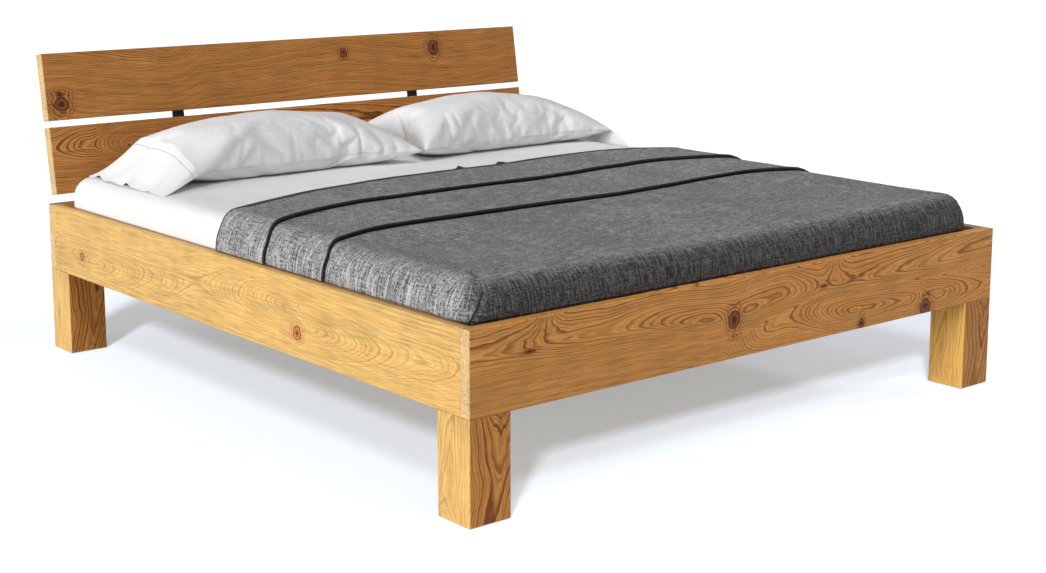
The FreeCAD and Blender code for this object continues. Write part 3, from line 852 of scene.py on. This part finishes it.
# %% Fitted sheet: the finished piece
hem_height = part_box("fitted_sheet")[0].z
reach_s, reach_t = core_width + run_to(hem_height), core_length + run_to(hem_height)
coarse_until, under_blanket = 0.10, 0.16
column_step, coarse_step, fine_step = 0.015, 0.03, 0.009
columns = spaced(-reach_s, reach_s, column_step)
rows = spaced(-reach_t, coarse_until, coarse_step) + spaced(coarse_until, reach_t, fine_step)[1:]
cells = [(s, t) for t in rows for s in columns]
bare_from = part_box("blanket")[1].y - mattress_middle.y - under_blanket


def sheet_point(s, t):
    ripple = sheet_ripple(s, t) if t > bare_from else 0.0
    return lay(s, t, sheet_lift + ripple)


sheet = new_mesh_object(
    "sheet", [sheet_point(s, t) for s, t in cells], grid_faces(len(rows), len(columns)),
    sheet_cotton, "mattress",
)
over_side = over_side_faces(cells)
set_weave(sheet, lambda vertex, face: weave_place(*cells[vertex], over_side(face)))
finish_with(sheet, "SOLIDIFY", thickness=sheet_thickness, offset=0.0)
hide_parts("fitted_sheet")
print("sheet flat", round(2 * reach_s, 3), "x", round(2 * reach_t, 3), "faces", len(sheet.data.polygons))

# %% [markdown]
# The blanket is one cloth, tucked between mattress and frame at the foot and the sides, and bulging a
# little over the frame's inner edge. Towards the head it is folded twice into a flat pleat, so that two
# bands lie over each other like steps, each with a rounded edge that faces the foot. Each column of its
# grid is one thread that runs from the foot's hem to the head edge, forward and back through both
# pleats. That keeps it one cloth with all its layers, where three separate bands would only look folded.
# The folded edges bow to the foot near the sides, where the cloth is pulled down.

# %% Blanket: the lines of its folds
foot_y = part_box("foot_board")[0].y
kinks, pinch_size, curl_height, curl_width = (0.061, 0.223), 0.013, 0.007, 0.011


def bowed(middle, left, right, tilt=0.0, pinches=()):
    """A line across the bed that falls towards the foot at each side. left and right are how far it
    falls, from how far inside the side, and how suddenly. middle counts from the foot board's face."""
    def line(s):
        drop, reach, power = left if s < 0 else right
        beside = limited((abs(s) - (half_width - reach)) / reach)
        from_foot = middle - drop * beside ** power + tilt * s + bumps(s, pinches)
        return foot_y + from_foot - mattress_middle.y
    return line


lower_fold = bowed(0.712, (0.104, 0.34, 2.4), (0.092, 0.28, 2.4))
upper_fold = bowed(1.034, (0.160, 0.55, 2.7), (0.136, 0.42, 3.0))
head_edge = bowed(
    1.318, (0.197, 0.88, 2.2), (0.185, 0.62, 2.8), tilt=0.012,
    pinches=[(kink, pinch_size, pinch_size) for kink in kinks],
)
print("folds at", round(lower_fold(0), 3), round(upper_fold(0), 3), "head edge", round(head_edge(0), 3))

# %% Blanket: where its sides hang
blanket_thickness, layer_step, first_lift = 0.0026, 0.0040, 0.0028
bulge_heights = (0.040, 0.030, 0.021, 0.014, 0.009, 0.0055, 0.0038, 0.0024, 0.0004, -0.006, -0.024)
side_step, top_step = 0.014, 0.0155

# How far from the core the grid's lines lie down a side, close together at the frame's edge.
side_runs = spaced(0.0, run_to(frame_top + bulge_heights[0]), side_step)[1:]
side_runs += [run_to(frame_top + height) for height in bulge_heights[1:]]
side_runs.append(run_to(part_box("blanket")[0].z))
right_side = [core_width + run for run in side_runs]
columns = [-s for s in reversed(right_side)] + spaced(-core_width, core_width, top_step) + right_side
print("blanket columns", len(columns), "with", len(side_runs), "down each side")

# %% Blanket: one thread from foot to head
band_counts = (52, 20, 18)
fold_tuck, shadow_reach, swell_reach, edge_line = 0.055, 0.010, 0.026, 0.005
# The hem at the head edge is painted dark as shade; hem_at_middle and hem_at_side are how wide it is.
hem_at_middle, hem_at_side, gap_before_hem = 0.028, 0.005, 0.002


def turn_back(place, low, high, way, count):
    """A half turn of the cloth about a line across it, from one layer to the next."""
    radius = (high - low) / 2
    steps = [math.pi * (i + 1) / (count + 1) for i in range(count)]
    return [(place + way * radius * math.sin(a), low + radius * (1 - math.cos(a))) for a in steps]


def band_points(low, high, count, lift, is_folded):
    """The open part of one band, as (t, height of the layer, swell, darkness). darkness is painted shade,
    at a folded band's edge.
    """
    places = [low + (high - low) * i / count for i in range(count + 1)]
    if not is_folded:
        return [(t, lift, 0.0, 0.0) for t in places]
    places.insert(1, low + edge_line)
    return [(t, lift, bumps(t, [(low, 1.0, swell_reach)]), 0.7 if t == low else 0.0) for t in places]


def fold_points(edge, lift):
    """Under a fold and back: the strip in its shadow, the hidden layers and the rounded edge, all with
    painted shade.
    """
    upper = lift + layer_step
    points = [(edge - shadow_reach * 0.4, lift, 0.0, 0.8), (edge + fold_tuck, lift, 0.0, 1.0)]
    points += [(t, height, 0.0, 1.0) for t, height in turn_back(edge + fold_tuck, lift, upper, 1, 3)]
    points += [(edge + fold_tuck * share, upper, 0.4 * (1 - share), 1.0) for share in (1.0, 0.5, 0.1)]
    turn = turn_back(edge, upper, upper + layer_step, -1, 5)
    return points + [(t, height, 0.5 + 0.1 * i, 1.0) for i, (t, height) in enumerate(turn)]


def thread_path(s):
    """One thread, from the foot's hem over the foot edge and both pleats to the head edge."""
    path = [(-core_length - run, first_lift, 0.0, 0.0) for run in reversed(side_runs)]
    places = [-core_length, lower_fold(s), upper_fold(s), head_edge(s)]
    lift = first_lift
    for band, count in enumerate(band_counts[:-1]):
        path += band_points(places[band], places[band + 1] - shadow_reach, count, lift, band > 0)
        path += fold_points(places[band + 1], lift)
        lift += 2 * layer_step
    inside = smooth_share(abs(s), half_width - 0.02, half_width - 0.12)
    hem = places[-1] - hem_at_side - (hem_at_middle - hem_at_side) * inside
    curl = bumps(s, [(kink, curl_height, curl_width) for kink in kinks])
    path += band_points(places[-2], hem - gap_before_hem, band_counts[-1], lift, True)
    return path + [(hem, lift + curl * 0.3, 0.3, 1.0), (places[-1], lift + curl - 0.001, 0.2, 1.0)]


print("a middle thread has", len(thread_path(0.0)), "points")

# %% Blanket: how far it stands off the mattress
tuck_lift, tuck_share, tuck_height, fold_swell = 0.0042, 0.12, 0.0045, 0.0030
side_closing, bulge_starts, bulge_full = 0.45, 0.062, 0.006
left_bulge, right_bulge, foot_bulge, corner_bulge = 0.0065, 0.0080, 0.0045, 0.0180
crease_start, crease_lean, crease_width, crease_sink = 0.37, -0.15, 0.16, 0.0055


def stands_off(s, t, lift):
    """The height of a layer over the mattress. Down the sides the layers lie closer, above the frame
    they bulge over its inner edge, and below its top they are tucked between mattress and frame."""
    _, distance, turn, _ = corner_direction(s, t)
    roll, drop = rolled(distance)
    height = mattress_top - drop - frame_top
    closer = first_lift + (lift - first_lift) * (1 - side_closing * math.sin(roll))
    to_foot = math.sin(turn) if t < 0 else 0.0
    side_bulge = left_bulge if s < 0 else right_bulge
    bulge = side_bulge + (foot_bulge - side_bulge) * to_foot
    if t < -core_length and s < -core_width:
        bulge += corner_bulge * math.sin(2 * turn) ** 2
    out = closer + bulge * smooth_share(height, bulge_starts, bulge_full)
    tucked = tuck_lift + (lift - first_lift) * tuck_share
    return tucked + (out - tucked) * smooth_share(height, 0.0, tuck_height)


def blanket_wave(s, t):
    """Shallow unevenness, long ripples down the sides where the cloth is pulled under, and the crease
    where the side is folded over the foot end."""
    _, distance, turn, _ = corner_direction(s, t)
    over = limited((distance - flat_rim * 0.5) / 0.09)
    broad = 0.0026 * soft_noise(s, t * 1.4, 2.6, 7.3) + 0.0012 * soft_noise(s, t, 9.0, 2.2)
    along = t if abs(s) - core_width > abs(t) - core_length else s
    ripple = 0.0018 * soft_noise(along, 0.0, 11.0, 5.5) + 0.0010 * soft_noise(along, 0.0, 34.0, 3.5)
    wave = broad + over * ripple
    if abs(s) >= core_width and t <= -core_length:
        from_crease = (turn - math.pi * (crease_start + crease_lean * over)) / crease_width
        wave -= crease_sink * over * math.exp(-from_crease * from_crease)
    return wave


def blanket_point(s, t, lift, swell):
    swelled = lift + swell * fold_swell * (1 + 0.35 * soft_noise(s, 0.0, 7.0, lift * 900))
    return lay(s, t, stands_off(s, t, swelled + blanket_wave(s, t)))


print("bulges over the frame", left_bulge, right_bulge, foot_bulge)

# %% Blanket: mesh
threads = [thread_path(s) for s in columns]
row_count = len(threads[0])
cells, points, spare, darkness = [], [], [], []
used = [0.0 for s in columns]
for row in range(row_count):
    for column, s in enumerate(columns):
        t, lift, swell, dark = threads[column][row]
        if row > 0:
            before = threads[column][row - 1]
            used[column] += math.hypot(t - before[0], lift - before[1])
        shift = 0.002 * soft_noise(s, lift * 50, 2.4, 8.8) if abs(t) < core_length else 0.0
        cells.append((s, t + shift))
        points.append(blanket_point(s, t + shift, lift, swell))
        spare.append(used[column] + threads[column][0][0] - t)
        darkness.append(dark)
print("blanket grid", row_count, "x", len(columns))

# %% [markdown]
# The blanket's wool is heathered: dark and pale fibres spun together, with thicker pale slubs. Its top
# is mid grey with fibres that run across the bed, the sides show bright streaks down the drop, partly
# heather and partly painted highlights, the end at the foot is painted darkest as shade and
# cross-hatched, and the rounded edges of the folds are painted almost black as shade. Six noises
# stretched along the threads make all of that, weighed by the part of the cloth they lie on.

# %% Blanket wool
dark_wool, mid_wool, pale_wool = (0.080, 0.081, 0.083), (0.500, 0.502, 0.507), (0.82, 0.825, 0.83)
shaded_end_wool, shade_wool, wool_thread = (0.022, 0.023, 0.025), (0.014, 0.014, 0.015), 0.0028
blanket_wool, field, entries = new_material("blanket_wool")
weave, threads_height = woven(field, wool_thread)
side_share = weave.part(0).maths("ABSOLUTE").rise(core_width - 0.01, core_width + 0.070)
end_share = weave.part(1).rise(-core_length - 0.015, -core_length - 0.075)
speckle, crossing, lengthwise, streak, hatch, patch = [
    grain(weave, (across, along, 1.0), 2.0, roughness) for across, along, roughness in (
        (180.0, 220.0, 0.75), (26.0, 230.0, 0.65), (230.0, 26.0, 0.65), (9.0, 64.0, 0.6),
        (16.0, 170.0, 0.6), (5.0, 7.0, 0.5),
    )
]
fibres = speckle * (side_share * 0.6 + 1.9) + crossing * 1.7 + lengthwise * (end_share + 1.4)
heather = fibres + patch * 0.22 + side_share * (hatch * 1.2) + 0.5
colour = mix_colours(heather.rise(0.0, 1.0), dark_wool, mid_wool)
# Bright streaks down both sides: heather, partly painted highlights of the drop's ripples.
bright = (streak + speckle * 0.5 + hatch * 0.3).rise(-0.04, 0.30) * side_share * 0.72
slubs = (crossing + speckle).rise(0.18, 0.60) * (side_share * 0.45 + 0.22)
colour = mix_colours(bright.maths("MAXIMUM", slubs), colour, pale_wool)
# The foot end is darkened as painted shade, with a cross-hatch in it.
hatched = (speckle + lengthwise + hatch * 0.5).rise(0.45, -0.35)
colour = mix_colours(end_share * (hatched * 0.34 + 0.56), colour, shaded_end_wool)
print("wool threads", weave.tree.name)

# %% Blanket wool: painted shade on the folds and in the creases of the corners
# Where the side's cloth is folded over the end's, a dark line of painted shade runs down the
# rounded corner.
fold_dark = field.node("Attribute", {"attribute_name": "fold_dark"}, {}, "Fac")
place = field.coordinates()
past_side = (place.part(0) - mattress_middle.x).maths("ABSOLUTE") - core_width
past_end = mattress_middle.y - core_length - place.part(1)
down = (mattress_top - place.part(2)) / (mattress_top - frame_top)
line = past_end.maths("ARCTAN2", past_side) + down * 0.46 - 1.20
crease = line.maths("ABSOLUTE").rise(0.045, 0.012) * down.rise(0.14, 0.34)
crease = crease * past_side.rise(0.0, 0.004) * past_end.rise(0.0, 0.004)
# The folds' edges, the strips in their shadow, the head edge's hem and the corner crease are painted near
# black as shade.
painted_shade = (fold_dark.rise(0.25, 0.75) * 0.93).maths("MAXIMUM", crease * 0.9)
field.plug(entries, {
    "Base Color": mix_colours(painted_shade, colour, shade_wool), "Roughness": 0.95,
    "Normal": bump(threads_height * 0.25 + heather * 0.8, 0.0020), "Specular IOR Level": 0.15,
    "Sheen Weight": 0.05,
})
print("wool", blanket_wool.name)

# %% Blanket: the finished piece
blanket = new_mesh_object(
    "blanket_cloth", points, grid_faces(row_count, len(columns)), blanket_wool,
    "mattress",
)
over_side = over_side_faces(cells)


def blanket_weave(vertex, face):
    u, v = weave_place(*cells[vertex], over_side(face))
    return (u, v + spare[vertex])


set_weave(blanket, blanket_weave)
layer = blanket.data.attributes.new("fold_dark", "FLOAT", "POINT")
layer.data.foreach_set("value", darkness)
finish_with(blanket, "SOLIDIFY", thickness=blanket_thickness, offset=0.0)
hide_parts("blanket")

# %% [markdown]
# A pillow is two panels of cotton sewn at their rim and blown up by the filling. So it starts as two
# flat panels with a shared rim, and a short cloth simulation with air pressure fills it. Sculpting would
# do too, but here the rim draws in by itself, its corners stay as ears, and creases run from the seam
# into the panels. The result is fitted to the solid's width, depth and crown, and pressed flat where it
# lies.

# %% Pillow: two panels
pillow_columns, pillow_rows = 84, 54
panel_start, panel_ripple = 0.022, 0.006


def panel_mesh(seed):
    """Points, faces and cloth places of two panels that share the points of their rim."""
    top, bottom, points, weave = [], [], [], []
    for row in range(pillow_rows + 1):
        for column in range(pillow_columns + 1):
            x, y = 2 * column / pillow_columns - 1, 2 * row / pillow_rows - 1
            dome = panel_start * (1 - x ** 4) * (1 - y ** 4)
            ripple = panel_ripple * (1 - x * x) * (1 - y * y) * soft_noise(x * 2, y * 2, 2.2, seed)
            for panel, sign in ((top, 1), (bottom, -1)):
                if sign < 0 and max(abs(x), abs(y)) > 1 - 1e-9:
                    bottom.append(top[-1])
                    continue
                panel.append(len(points))
                points.append((x * panel_width / 2, y * panel_depth / 2, sign * dome + ripple))
                weave.append((x * panel_width / 2, y * panel_depth / 2 * sign))
    faces = []
    for ring in grid_faces(pillow_rows + 1, pillow_columns + 1):
        faces += [[top[i] for i in ring], [bottom[i] for i in reversed(ring)]]
    return points, faces, weave


print("pillow panels", panel_width, "x", panel_depth)

# %% Pillow: filling by cloth simulation
fill_frames = 32
cloth_settings = {
    "quality": 6, "mass": 0.25, "tension_stiffness": 18, "compression_stiffness": 12,
    "shear_stiffness": 8, "bending_stiffness": 0.35, "tension_damping": 12,
    "compression_damping": 12, "air_damping": 4, "use_pressure": True, "uniform_pressure_force": 3.2,
}


def fill(pillow):
    """Blows the panels up and applies the result."""
    pick(pillow)
    cloth = pillow.modifiers.new("filling", "CLOTH")
    for name, value in cloth_settings.items():
        setattr(cloth.settings, name, value)
    cloth.settings.effector_weights.gravity = 0
    cloth.point_cache.frame_start, cloth.point_cache.frame_end = 1, fill_frames
    for number in range(1, fill_frames + 1):
        bpy.context.scene.frame_set(number)
    bpy.ops.object.modifier_apply(modifier="filling")
    bpy.context.scene.frame_set(1)


print("filling takes", fill_frames, "frames")

# %% Pillow: fitting to its place
seam_rise, belly_depth, pressed_height = 0.041, 0.062, 0.012
mouth_reach, mouth_straightness = 0.088, 0.50
front_taper, end_taper = 0.38, 0.12
smooth_reach, smooth_rounds, middle_band = 0.13, 24, 0.03


def fit_pillow(pillow, node, is_open):
    """Stretches the filled form to the solid's box, and presses it flat where it lies. An open left
    end runs on into the case, straightened and a little lower."""
    low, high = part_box(node)
    start_x = low.x - (mouth_reach if is_open else 0.0)
    seam_z = low.z + seam_rise
    places = [vertex.co.copy() for vertex in pillow.data.vertices]
    smallest = [min(p[i] for p in places) for i in range(3)]
    largest = [max(p[i] for p in places) for i in range(3)]
    size = [largest[i] - smallest[i] for i in range(3)]
    pulled_in = min(p.x for p in places if abs(p.y) < middle_band) - smallest[0]
    print(node, "filled to", [round(length, 3) for length in size], round(pulled_in, 3))
    for vertex, place in zip(pillow.data.vertices, places):
        across, back = [(place[i] - smallest[i]) / size[i] for i in range(2)]
        if place.z > 0:
            height = place.z / largest[2] * (high.z - seam_z)
        else:
            height = -place.z / smallest[2] * belly_depth
        if is_open:
            straight = mouth_straightness * pulled_in / size[0]
            across -= straight * math.sin(math.pi * back) * (1 - across) ** 4
            height *= 1 - front_taper * smooth_share(across, 0.26, 0.08) * smooth_share(back, 0.42, 0.06)
            height *= 1 - end_taper * smooth_share(across, 0.24, 0.06)
        above = seam_z + height - low.z
        if above < pressed_height:
            above = pressed_height * math.exp((above - pressed_height) / pressed_height)
        vertex.co = (
            start_x + across * (high.x - start_x), low.y + back * (high.y - low.y), low.z + above
        )


def cut_end(pillow, place_x):
    """Cuts off what lies left of a place, closes the cut and calms the cloth beside it."""
    pick(pillow)
    bpy.ops.object.mode_set(mode="EDIT")
    bpy.ops.mesh.select_all(action="SELECT")
    bpy.ops.mesh.bisect(plane_co=(place_x, 0, 0), plane_no=(-1, 0, 0), use_fill=True, clear_outer=True)
    bpy.ops.mesh.select_all(action="DESELECT")
    bpy.ops.object.mode_set(mode="OBJECT")
    for vertex in pillow.data.vertices:
        vertex.select = abs(vertex.co.x - place_x) < smooth_reach
    bpy.ops.object.mode_set(mode="EDIT")
    bpy.ops.mesh.select_mode(type="VERT")
    bpy.ops.mesh.vertices_smooth(factor=0.5, repeat=smooth_rounds, xaxis=False, yaxis=False, zaxis=True)
    bpy.ops.object.mode_set(mode="OBJECT")


print("seam", seam_rise, "above the underside")

# %% Pillow: creases
# A crease is (place across from 0 to 1, lean, width, depth, lower end, upper end). Its height counts
# from 0 at the front seam to 1 at the top's middle, and below 0 on the under side.
net_depth, net_width, lump_depth, underside = 0.0018, 0.12, 0.0036, 0.004
left_creases = (
    (0.745, -0.01, 0.010, 0.0085, -0.10, 0.62), (0.640, 0.06, 0.016, 0.0060, -0.05, 0.50),
    (0.860, -0.16, 0.012, 0.0060, -0.02, 0.50), (0.900, -0.10, 0.010, 0.0050, -0.02, 0.34),
    (0.420, 0.10, 0.018, 0.0060, 0.00, 0.52), (0.500, -0.08, 0.012, 0.0045, 0.04, 0.40),
    (0.120, 0.34, 0.016, 0.0070, -0.02, 0.50), (0.190, 0.28, 0.012, 0.0055, -0.02, 0.36),
    (0.070, 0.42, 0.014, 0.0050, 0.02, 0.40), (0.300, 0.05, 0.016, 0.0040, 0.02, 0.36),
)
right_creases = (
    (0.150, 0.10, 0.014, 0.0075, -0.05, 0.60), (0.090, 0.22, 0.012, 0.0060, -0.02, 0.50),
    (0.230, 0.02, 0.012, 0.0070, -0.05, 0.56), (0.330, -0.06, 0.016, 0.0060, 0.00, 0.50),
    (0.450, 0.08, 0.014, 0.0050, 0.02, 0.46), (0.560, -0.05, 0.014, 0.0050, 0.00, 0.40),
    (0.690, 0.06, 0.016, 0.0055, 0.00, 0.46), (0.820, -0.12, 0.014, 0.0050, 0.00, 0.40),
)


def crease_depth(across, up, creases):
    depth = 0.0
    for place, lean, width, deep, lower, upper in creases:
        away = abs(across - place - lean * (up - lower)) / width
        window = smooth_share(up, lower - 0.06, lower + 0.10) * smooth_share(up, upper, upper - 0.22)
        depth += deep * math.exp(-away) * window
    return depth


def crumple(pillow, node, creases, seed, is_open):
    """Presses the creases and a net of small wrinkles into the finished form."""
    low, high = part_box(node)
    pushed = []
    for vertex in pillow.data.vertices:
        place = vertex.co.copy()
        across = (place.x - low.x) / (high.x - low.x)
        up = (place.y - low.y) / ((high.y - low.y) / 2)
        if place.z < low.z + seam_rise:
            up = -up
        net = max(0.0, 1 - abs(soft_noise(across * 1.6 + up * 0.3, up, 4.2, seed)) / net_width)
        lumps = soft_noise(across * 1.3, up * 0.7, 5.0, seed + 4)
        loose = smooth_share(up, 1.9, 1.0) * smooth_share(up, -0.3, 0.0)
        wrinkles = net_depth * smooth_share(up, 1.1, 0.7) * net - lump_depth * lumps
        depth = crease_depth(across, up, creases) + loose * wrinkles
        if is_open:
            depth *= smooth_share(across, 0.005, 0.16)
        if place.z > low.z + underside:
            place -= vertex.normal * depth
        place.x = limited(place.x, low.x, high.x)
        pushed.append(place)
    for vertex, place in zip(pillow.data.vertices, pushed):
        vertex.co = place


print("creases", len(left_creases), "and", len(right_creases))


# %% Pillows
def make_pillow(name, node, body, seed, creases, is_open):
    points, faces, weave = panel_mesh(seed)
    pillow = new_mesh_object(name, points, faces, pillow_cotton, body)
    set_weave(pillow, lambda vertex, face: weave[vertex])
    fill(pillow)
    fit_pillow(pillow, node, is_open)
    finish_with(pillow, "SUBSURF", levels=1, render_levels=1)
    if is_open:
        cut_end(pillow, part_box(node)[0].x)
    crumple(pillow, node, creases, seed, is_open)
    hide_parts(node)
    print(name, "faces", len(pillow.data.polygons))
    return pillow


left_pillow = make_pillow("left_pillow", "pillow_left", "pillow_left", 3.1, left_creases, is_open=True)
make_pillow("right_pillow", "pillow_right", "pillow_right", 8.4, right_creases, is_open=False)

# %% [markdown]
# The pillowcase is longer than the pillow: at one end its open mouth lies beyond the filling. On the
# left pillow it slopes from the pillow's full end down to a hem that rests on the sheet, on the right
# one it hangs down past the side. It is a tube that grows flat and fans out, with soft folds that run
# out of the pillow's end, and its two layers part a little at the hem. It starts on the outline of the
# pillow's cut end, so the case looks like one cloth though it is a piece of its own.


# %% Open end of the left pillowcase: where it starts
def cut_outline(pillow, place_x):
    """The upper and the lower edge of the cut end, as (y, z) points from front to back."""
    ring = sorted((v.co.y, v.co.z) for v in pillow.data.vertices if abs(v.co.x - place_x) < 1e-5)
    (front_y, front_z), (back_y, back_z) = ring[0], ring[-1]
    upper, lower = [], []
    for y, z in ring[1:-1]:
        chord = front_z + (back_z - front_z) * (y - front_y) / (back_y - front_y)
        (upper if z > chord else lower).append((y, z))
    return [[ring[0]] + edge + [ring[-1]] for edge in (upper, lower)]


def height_at(chain, y):
    for (y0, z0), (y1, z1) in zip(chain, chain[1:]):
        if y <= y1:
            return z0 + (z1 - z0) * (y - y0) / max(y1 - y0, 1e-9)
    return chain[-1][1]


left_low, left_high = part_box("pillowcase_flap_left")
upper_chain, lower_chain = cut_outline(left_pillow, left_high.x)
crown = max(z for y, z in upper_chain)
print("cut end", len(upper_chain), "and", len(lower_chain), "points, crown", round(crown, 3))

# %% Open end of the left pillowcase: its places
hem_front, hem_back, hem_rise, hem_crown = 0.430, 0.908, 0.0045, 0.004
case_overlap, over_pillow, hem_parted, fold_height = 0.004, 0.0008, 0.002, 0.008
hem_margin, hem_bow, over_sheet = 0.002, 0.010, 0.003
# Where the two layers part more at the hem: (place from front to back, gap, width).
hem_gaps = ((0.18, 0.004, 0.030), (0.45, 0.012, 0.036), (0.82, 0.011, 0.046))
left_width = left_high.x - left_low.x


def left_flap_place(share, place, upper):
    """A point of the tube: share from the pillow's end to the hem, place from front to back."""
    chain = upper_chain if upper else lower_chain
    start_y = chain[0][0] + (chain[-1][0] - chain[0][0]) * place
    start_z = height_at(chain, start_y) + (over_pillow if upper else 0.0)
    end_y = hem_front + (hem_back - hem_front) * place
    middle = math.sin(math.pi * place)
    parted = hem_parted + bumps(place, hem_gaps) if upper else 0.0
    end_z = left_low.z + hem_rise + parted + hem_crown * middle
    slope = min(1.0, (1 - share) / (1 - case_overlap / left_width)) ** 1.2
    fold = soft_noise(place * 4.2 - share * 0.5, share * 0.8, 1.7, 9.1)
    fold += 0.8 * max(0.0, 0.5 - abs(soft_noise(place * 3.1 + share * 0.4, 0.0, 2.1, 2.4)) * 6)
    fold *= fold_height * math.sin(math.pi * min(1.0, share * 0.75)) * middle * (1.0 if upper else 0.3)
    z = max(end_z + (start_z - end_z) * slope + fold, left_low.z + over_sheet)
    reach = left_width - hem_margin - hem_bow * (1 - middle) ** 2
    x = left_high.x + case_overlap * (1 - share) - reach * share
    return Vector((x, start_y + (end_y - start_y) * share, z))


print("left mouth from", [round(v, 3) for v in left_low])

# %% Open end of the right pillowcase
right_low, right_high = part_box("pillowcase_flap_right")
pillow_low, pillow_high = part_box("pillow_right")
mouth_gap, mouth_inset, mouth_narrowing, side_margin = 0.011, 0.03, 0.05, 0.008


def right_flap_place(share, place, upper):
    """The same for the case that hangs: it bends down through a quarter turn."""
    front = pillow_low.y + mouth_inset - share * (pillow_low.y + mouth_inset - right_low.y)
    y = front + (pillow_high.y - mouth_inset - share * mouth_narrowing - front) * place
    folds = share * (0.004 * soft_noise(place * 5.0, share * 0.7, 1.5, 5.4) + 0.002 * math.sin(place * 19))
    gap = over_pillow + mouth_gap * math.sin(math.pi * place) * (0.18 + 0.32 * share)
    angle = share * math.pi / 2
    seam_z = pillow_low.z + seam_rise
    x = right_low.x + (right_high.x - side_margin - right_low.x) * math.sin(angle)
    z = seam_z - (seam_z - right_low.z - hem_margin) * (1 - math.cos(angle))
    out = Vector((math.sin(angle), 0, math.cos(angle)))
    return Vector((x, y, z)) + out * (folds + (gap if upper else -gap))


print("right mouth from", [round(v, 3) for v in right_low])

# %% Open ends: meshes
flap_columns, flap_rows = 26, 64
case_thickness, case_reach = 0.0009, 0.172


def make_flap(name, node, body, flap_place, inside_out):
    points, faces, weave = [], [], []
    around = 2 * flap_rows
    for column in range(flap_columns + 1):
        share = column / flap_columns
        for step in range(around):
            upper = step <= flap_rows
            place = (1 - math.cos(math.pi * (step if upper else around - step) / flap_rows)) / 2
            points.append(flap_place(share, place, upper))
            weave.append((share * case_reach, place * 0.5 if upper else 1 + place * 0.5))
    for column in range(flap_columns):
        for step in range(around):
            a, b = column * around + step, column * around + (step + 1) % around
            ring = (a, b, b + around, a + around)
            faces.append(ring[::-1] if inside_out else ring)
    flap = new_mesh_object(name, points, faces, lit_mouth_cotton, body)
    set_weave(flap, lambda vertex, face: weave[vertex])
    finish_with(flap, "SOLIDIFY", thickness=case_thickness, offset=-1.0)
    finish_with(flap, "SUBSURF", levels=1, render_levels=1)
    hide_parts(node)
    return flap


left_flap = make_flap("left_case_mouth", "pillowcase_flap_left", "pillow_left", left_flap_place, False)
right_flap = make_flap("right_case_mouth", "pillowcase_flap_right", "pillow_right", right_flap_place, True)
